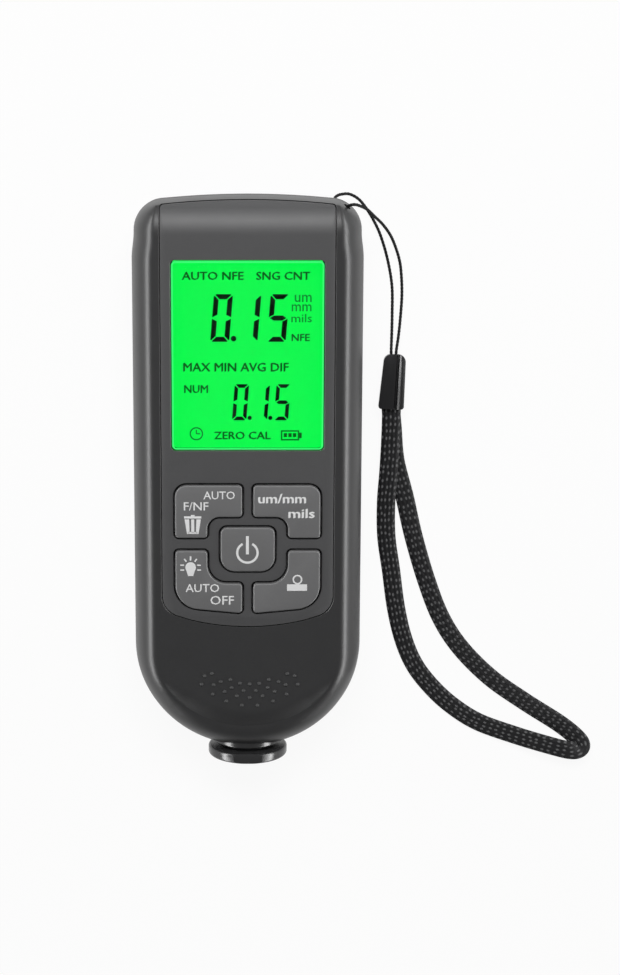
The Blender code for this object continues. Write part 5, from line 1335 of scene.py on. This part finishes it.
light_print = [block("bulb", bulb_outline, *INKED)] + strokes(rays_of_light, INKED)
light_print += words([("AUTO", -12.66, -5.8, -20.59, -18.87), ("OFF", -7.6, -2.77, -23.23, -21.37)], INKED, THIN)
zero_print = [arc_mark(10.12, -17.95, 1.0, 0.3, *INKED)] + strokes([(8.0, -19.62, 12.08, -19.62, 1.36)], INKED)
for name, pieces, body in (
    ("mode_print", mode_print, "mode_button"), ("units_print", units_print, "units_button"),
    ("power_print", power_print, "power_button"), ("light_print", light_print, "light_button"),
    ("zero_print", zero_print, "zero_button"),
):
    wear(joined(name, pieces), PRINT, body)
print("prints: 5, top at", round(PRINT_HIGH_Z, 2), "mm")

# %% [markdown]
# The foot of the probe and the ring round it are turned pieces. A lathe cuts one profile round
# an axis, and Blender's spin does the same with edges: the profile is drawn on one side of the
# axis and spun a full turn. Two flats are then cut on the foot, and a bevel softens its edges.


# %% A turned piece
def turned(name, profile, steps=96):
    """The closed profile, (distance from the axis, y) in millimetres, spun round the probe's axis."""
    mesh = bpy.data.meshes.new(name)
    places = [(radius * MM, y * MM, PARTING_Z * MM) for radius, y in profile]
    mesh.from_pydata(places, [(i, (i + 1) % len(places)) for i in range(len(places))], [])
    made = placed(name, mesh)
    only(made)
    bpy.ops.object.mode_set(mode="EDIT")
    bpy.ops.mesh.select_all(action="SELECT")
    bpy.ops.mesh.spin(steps=steps, angle=2 * math.pi, center=(0, 0, PARTING_Z * MM), axis=(0, 1, 0))
    bpy.ops.object.mode_set(mode="OBJECT")
    merge_and_face_out(made)
    return made


def corner_round(x_inner, y_edge, radius, towards, steps=6):
    """Points of a quarter round at the outer corner of a turned face, from the face outwards."""
    points = []
    for k in range(steps + 1):
        angle = math.pi / 2 * k / steps
        points.append((x_inner + radius * math.sin(angle), y_edge + towards * radius * (1 - math.cos(angle))))
    return points


# %% Foot and ring of the probe
FOOT_Y = foot_low.y / MM
FOOT_END = foot_high.y / MM
FOOT_RADIUS = foot_high.x / MM
FOOT_BACK = FOOT_Y + 2.1
nose_low, nose_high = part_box("probe_nose")
NOSE_Y = nose_low.y / MM
NOSE_END = nose_high.y / MM
foot_profile = [(3.3, FOOT_Y), *corner_round(FOOT_RADIUS - 0.6, FOOT_Y, 0.6, 1)]
foot_profile += corner_round(FOOT_RADIUS - 0.5, FOOT_BACK, 0.5, -1)[::-1]
foot_profile += [(5.6, FOOT_BACK), (5.3, FOOT_BACK + 0.3), (5.3, NOSE_END), (4.6, NOSE_END), (4.6, NOSE_END + 1.6)]
foot_profile += [(5.3, NOSE_END + 1.6), (5.3, FOOT_END - 0.3), (5.0, FOOT_END), (3.3, FOOT_END)]
foot = turned("turned_foot", foot_profile)
FLAT_DISTANCE = 7.75           # of the two flats from the axis
FACET_DISTANCE = 8.25          # of the narrow facets beside them
FACET_LEAN = 27                # degrees
CUT_REACH = 12.0
probe_axis = Matrix.Translation((0, 0, PARTING_Z * MM))
for side in (1, -1):
    for half_width, distance, lean in (
        (10.0, FLAT_DISTANCE, 0), (6.0, FACET_DISTANCE, -FACET_LEAN), (6.0, FACET_DISTANCE, FACET_LEAN),
    ):
        outline = rounded(rectangle(half_width, FOOT_Y - 2.0, FOOT_BACK + 0.02))
        facet = block("facet", outline, *sorted((side * distance, side * CUT_REACH)))
        facet.data.transform(probe_axis @ Matrix.Rotation(math.radians(lean), 4, "Y"))
        cut_away(foot, facet)
soften_edges(foot, 0.12, 2, 12)
smooth(foot, 30)
wear(foot, GLOSS, "probe")
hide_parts("probe_foot")
nose_profile = [(5.6, NOSE_Y), *corner_round(7.0, NOSE_Y, 0.4, 1), (7.4, NOSE_Y + 6.0), (8.6, NOSE_Y + 6.0)]
nose_profile += [(8.6, NOSE_Y + 7.4), (7.4, NOSE_Y + 7.4), (7.4, NOSE_END), (5.6, NOSE_END)]
nose = turned("turned_ring", nose_profile)
smooth(nose, 30)
wear(nose, GLOSS)
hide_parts("probe_nose")
print("foot faces:", len(foot.data.polygons), "ring faces:", len(nose.data.polygons))

# %% [markdown]
# The probe's return spring is squeezed when the probe is pressed. A copy of the imported spring,
# with its own mesh and finish, takes the imported one's place.

# %% Return spring
return_spring = placed("return_spring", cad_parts["probe_spring"].data.copy())
merge_and_face_out(return_spring)
smooth(return_spring, 40)
wear(return_spring, STEEL)
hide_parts("probe_spring")
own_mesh(return_spring)

# %% [markdown]
# The clip on the strap is a glossy black moulding. Its top has a flat part on the left, a deep
# groove that runs its whole length, a narrow facet that shines, and a part that slopes away on
# the right. One cutter with that profile makes all of them. The walls lean in towards the floor.

# %% Clip
CLIP_MIDDLE = (30.3, 19.4)
clip_place = Matrix.Translation((CLIP_MIDDLE[0] * MM, CLIP_MIDDLE[1] * MM, 0.0))
CLIP_TURN = clip_place @ Matrix.Rotation(math.radians(-3.0), 4, "Z")
CLIP_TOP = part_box("strap_ferrule")[1].z / MM
clip_outline = rounded([(2.7, -5.8, 0.6), (2.4, 5.8, 1.6), (-2.1, 5.8, 1.6), (-2.7, -5.8, 0.6)])
clip_rings = [(grown(clip_outline, -0.8), 0.0), (clip_outline, CLIP_TOP - 1.2), (clip_outline, CLIP_TOP)]
clip = stack("glossy_clip", clip_rings)
CLIP_PROFILE = [(0.5, 0.1), (0.74, -0.8), (0.94, -0.8), (1.1, 0.02), (1.42, -0.2), (3.3, -0.6), (3.3, 3.0), (0.5, 3.0)]
profile_cutter = block("clip_profile", CLIP_PROFILE, -8.0, 8.0)
profile_cutter.data.transform(Matrix.Translation((0, 0, CLIP_TOP * MM)) @ Matrix.Rotation(math.pi / 2, 4, "X"))
cut_away(clip, profile_cutter)
soften_edges(clip, 0.1, 2, 40)
clip.data.transform(CLIP_TURN)
smooth(clip, 35)
wear(clip, CLIP)
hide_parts("strap_ferrule")
print("clip faces:", len(clip.data.polygons))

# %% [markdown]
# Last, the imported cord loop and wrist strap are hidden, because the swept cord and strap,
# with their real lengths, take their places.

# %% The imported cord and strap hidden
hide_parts("cord_loop")
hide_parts("wrist_strap")
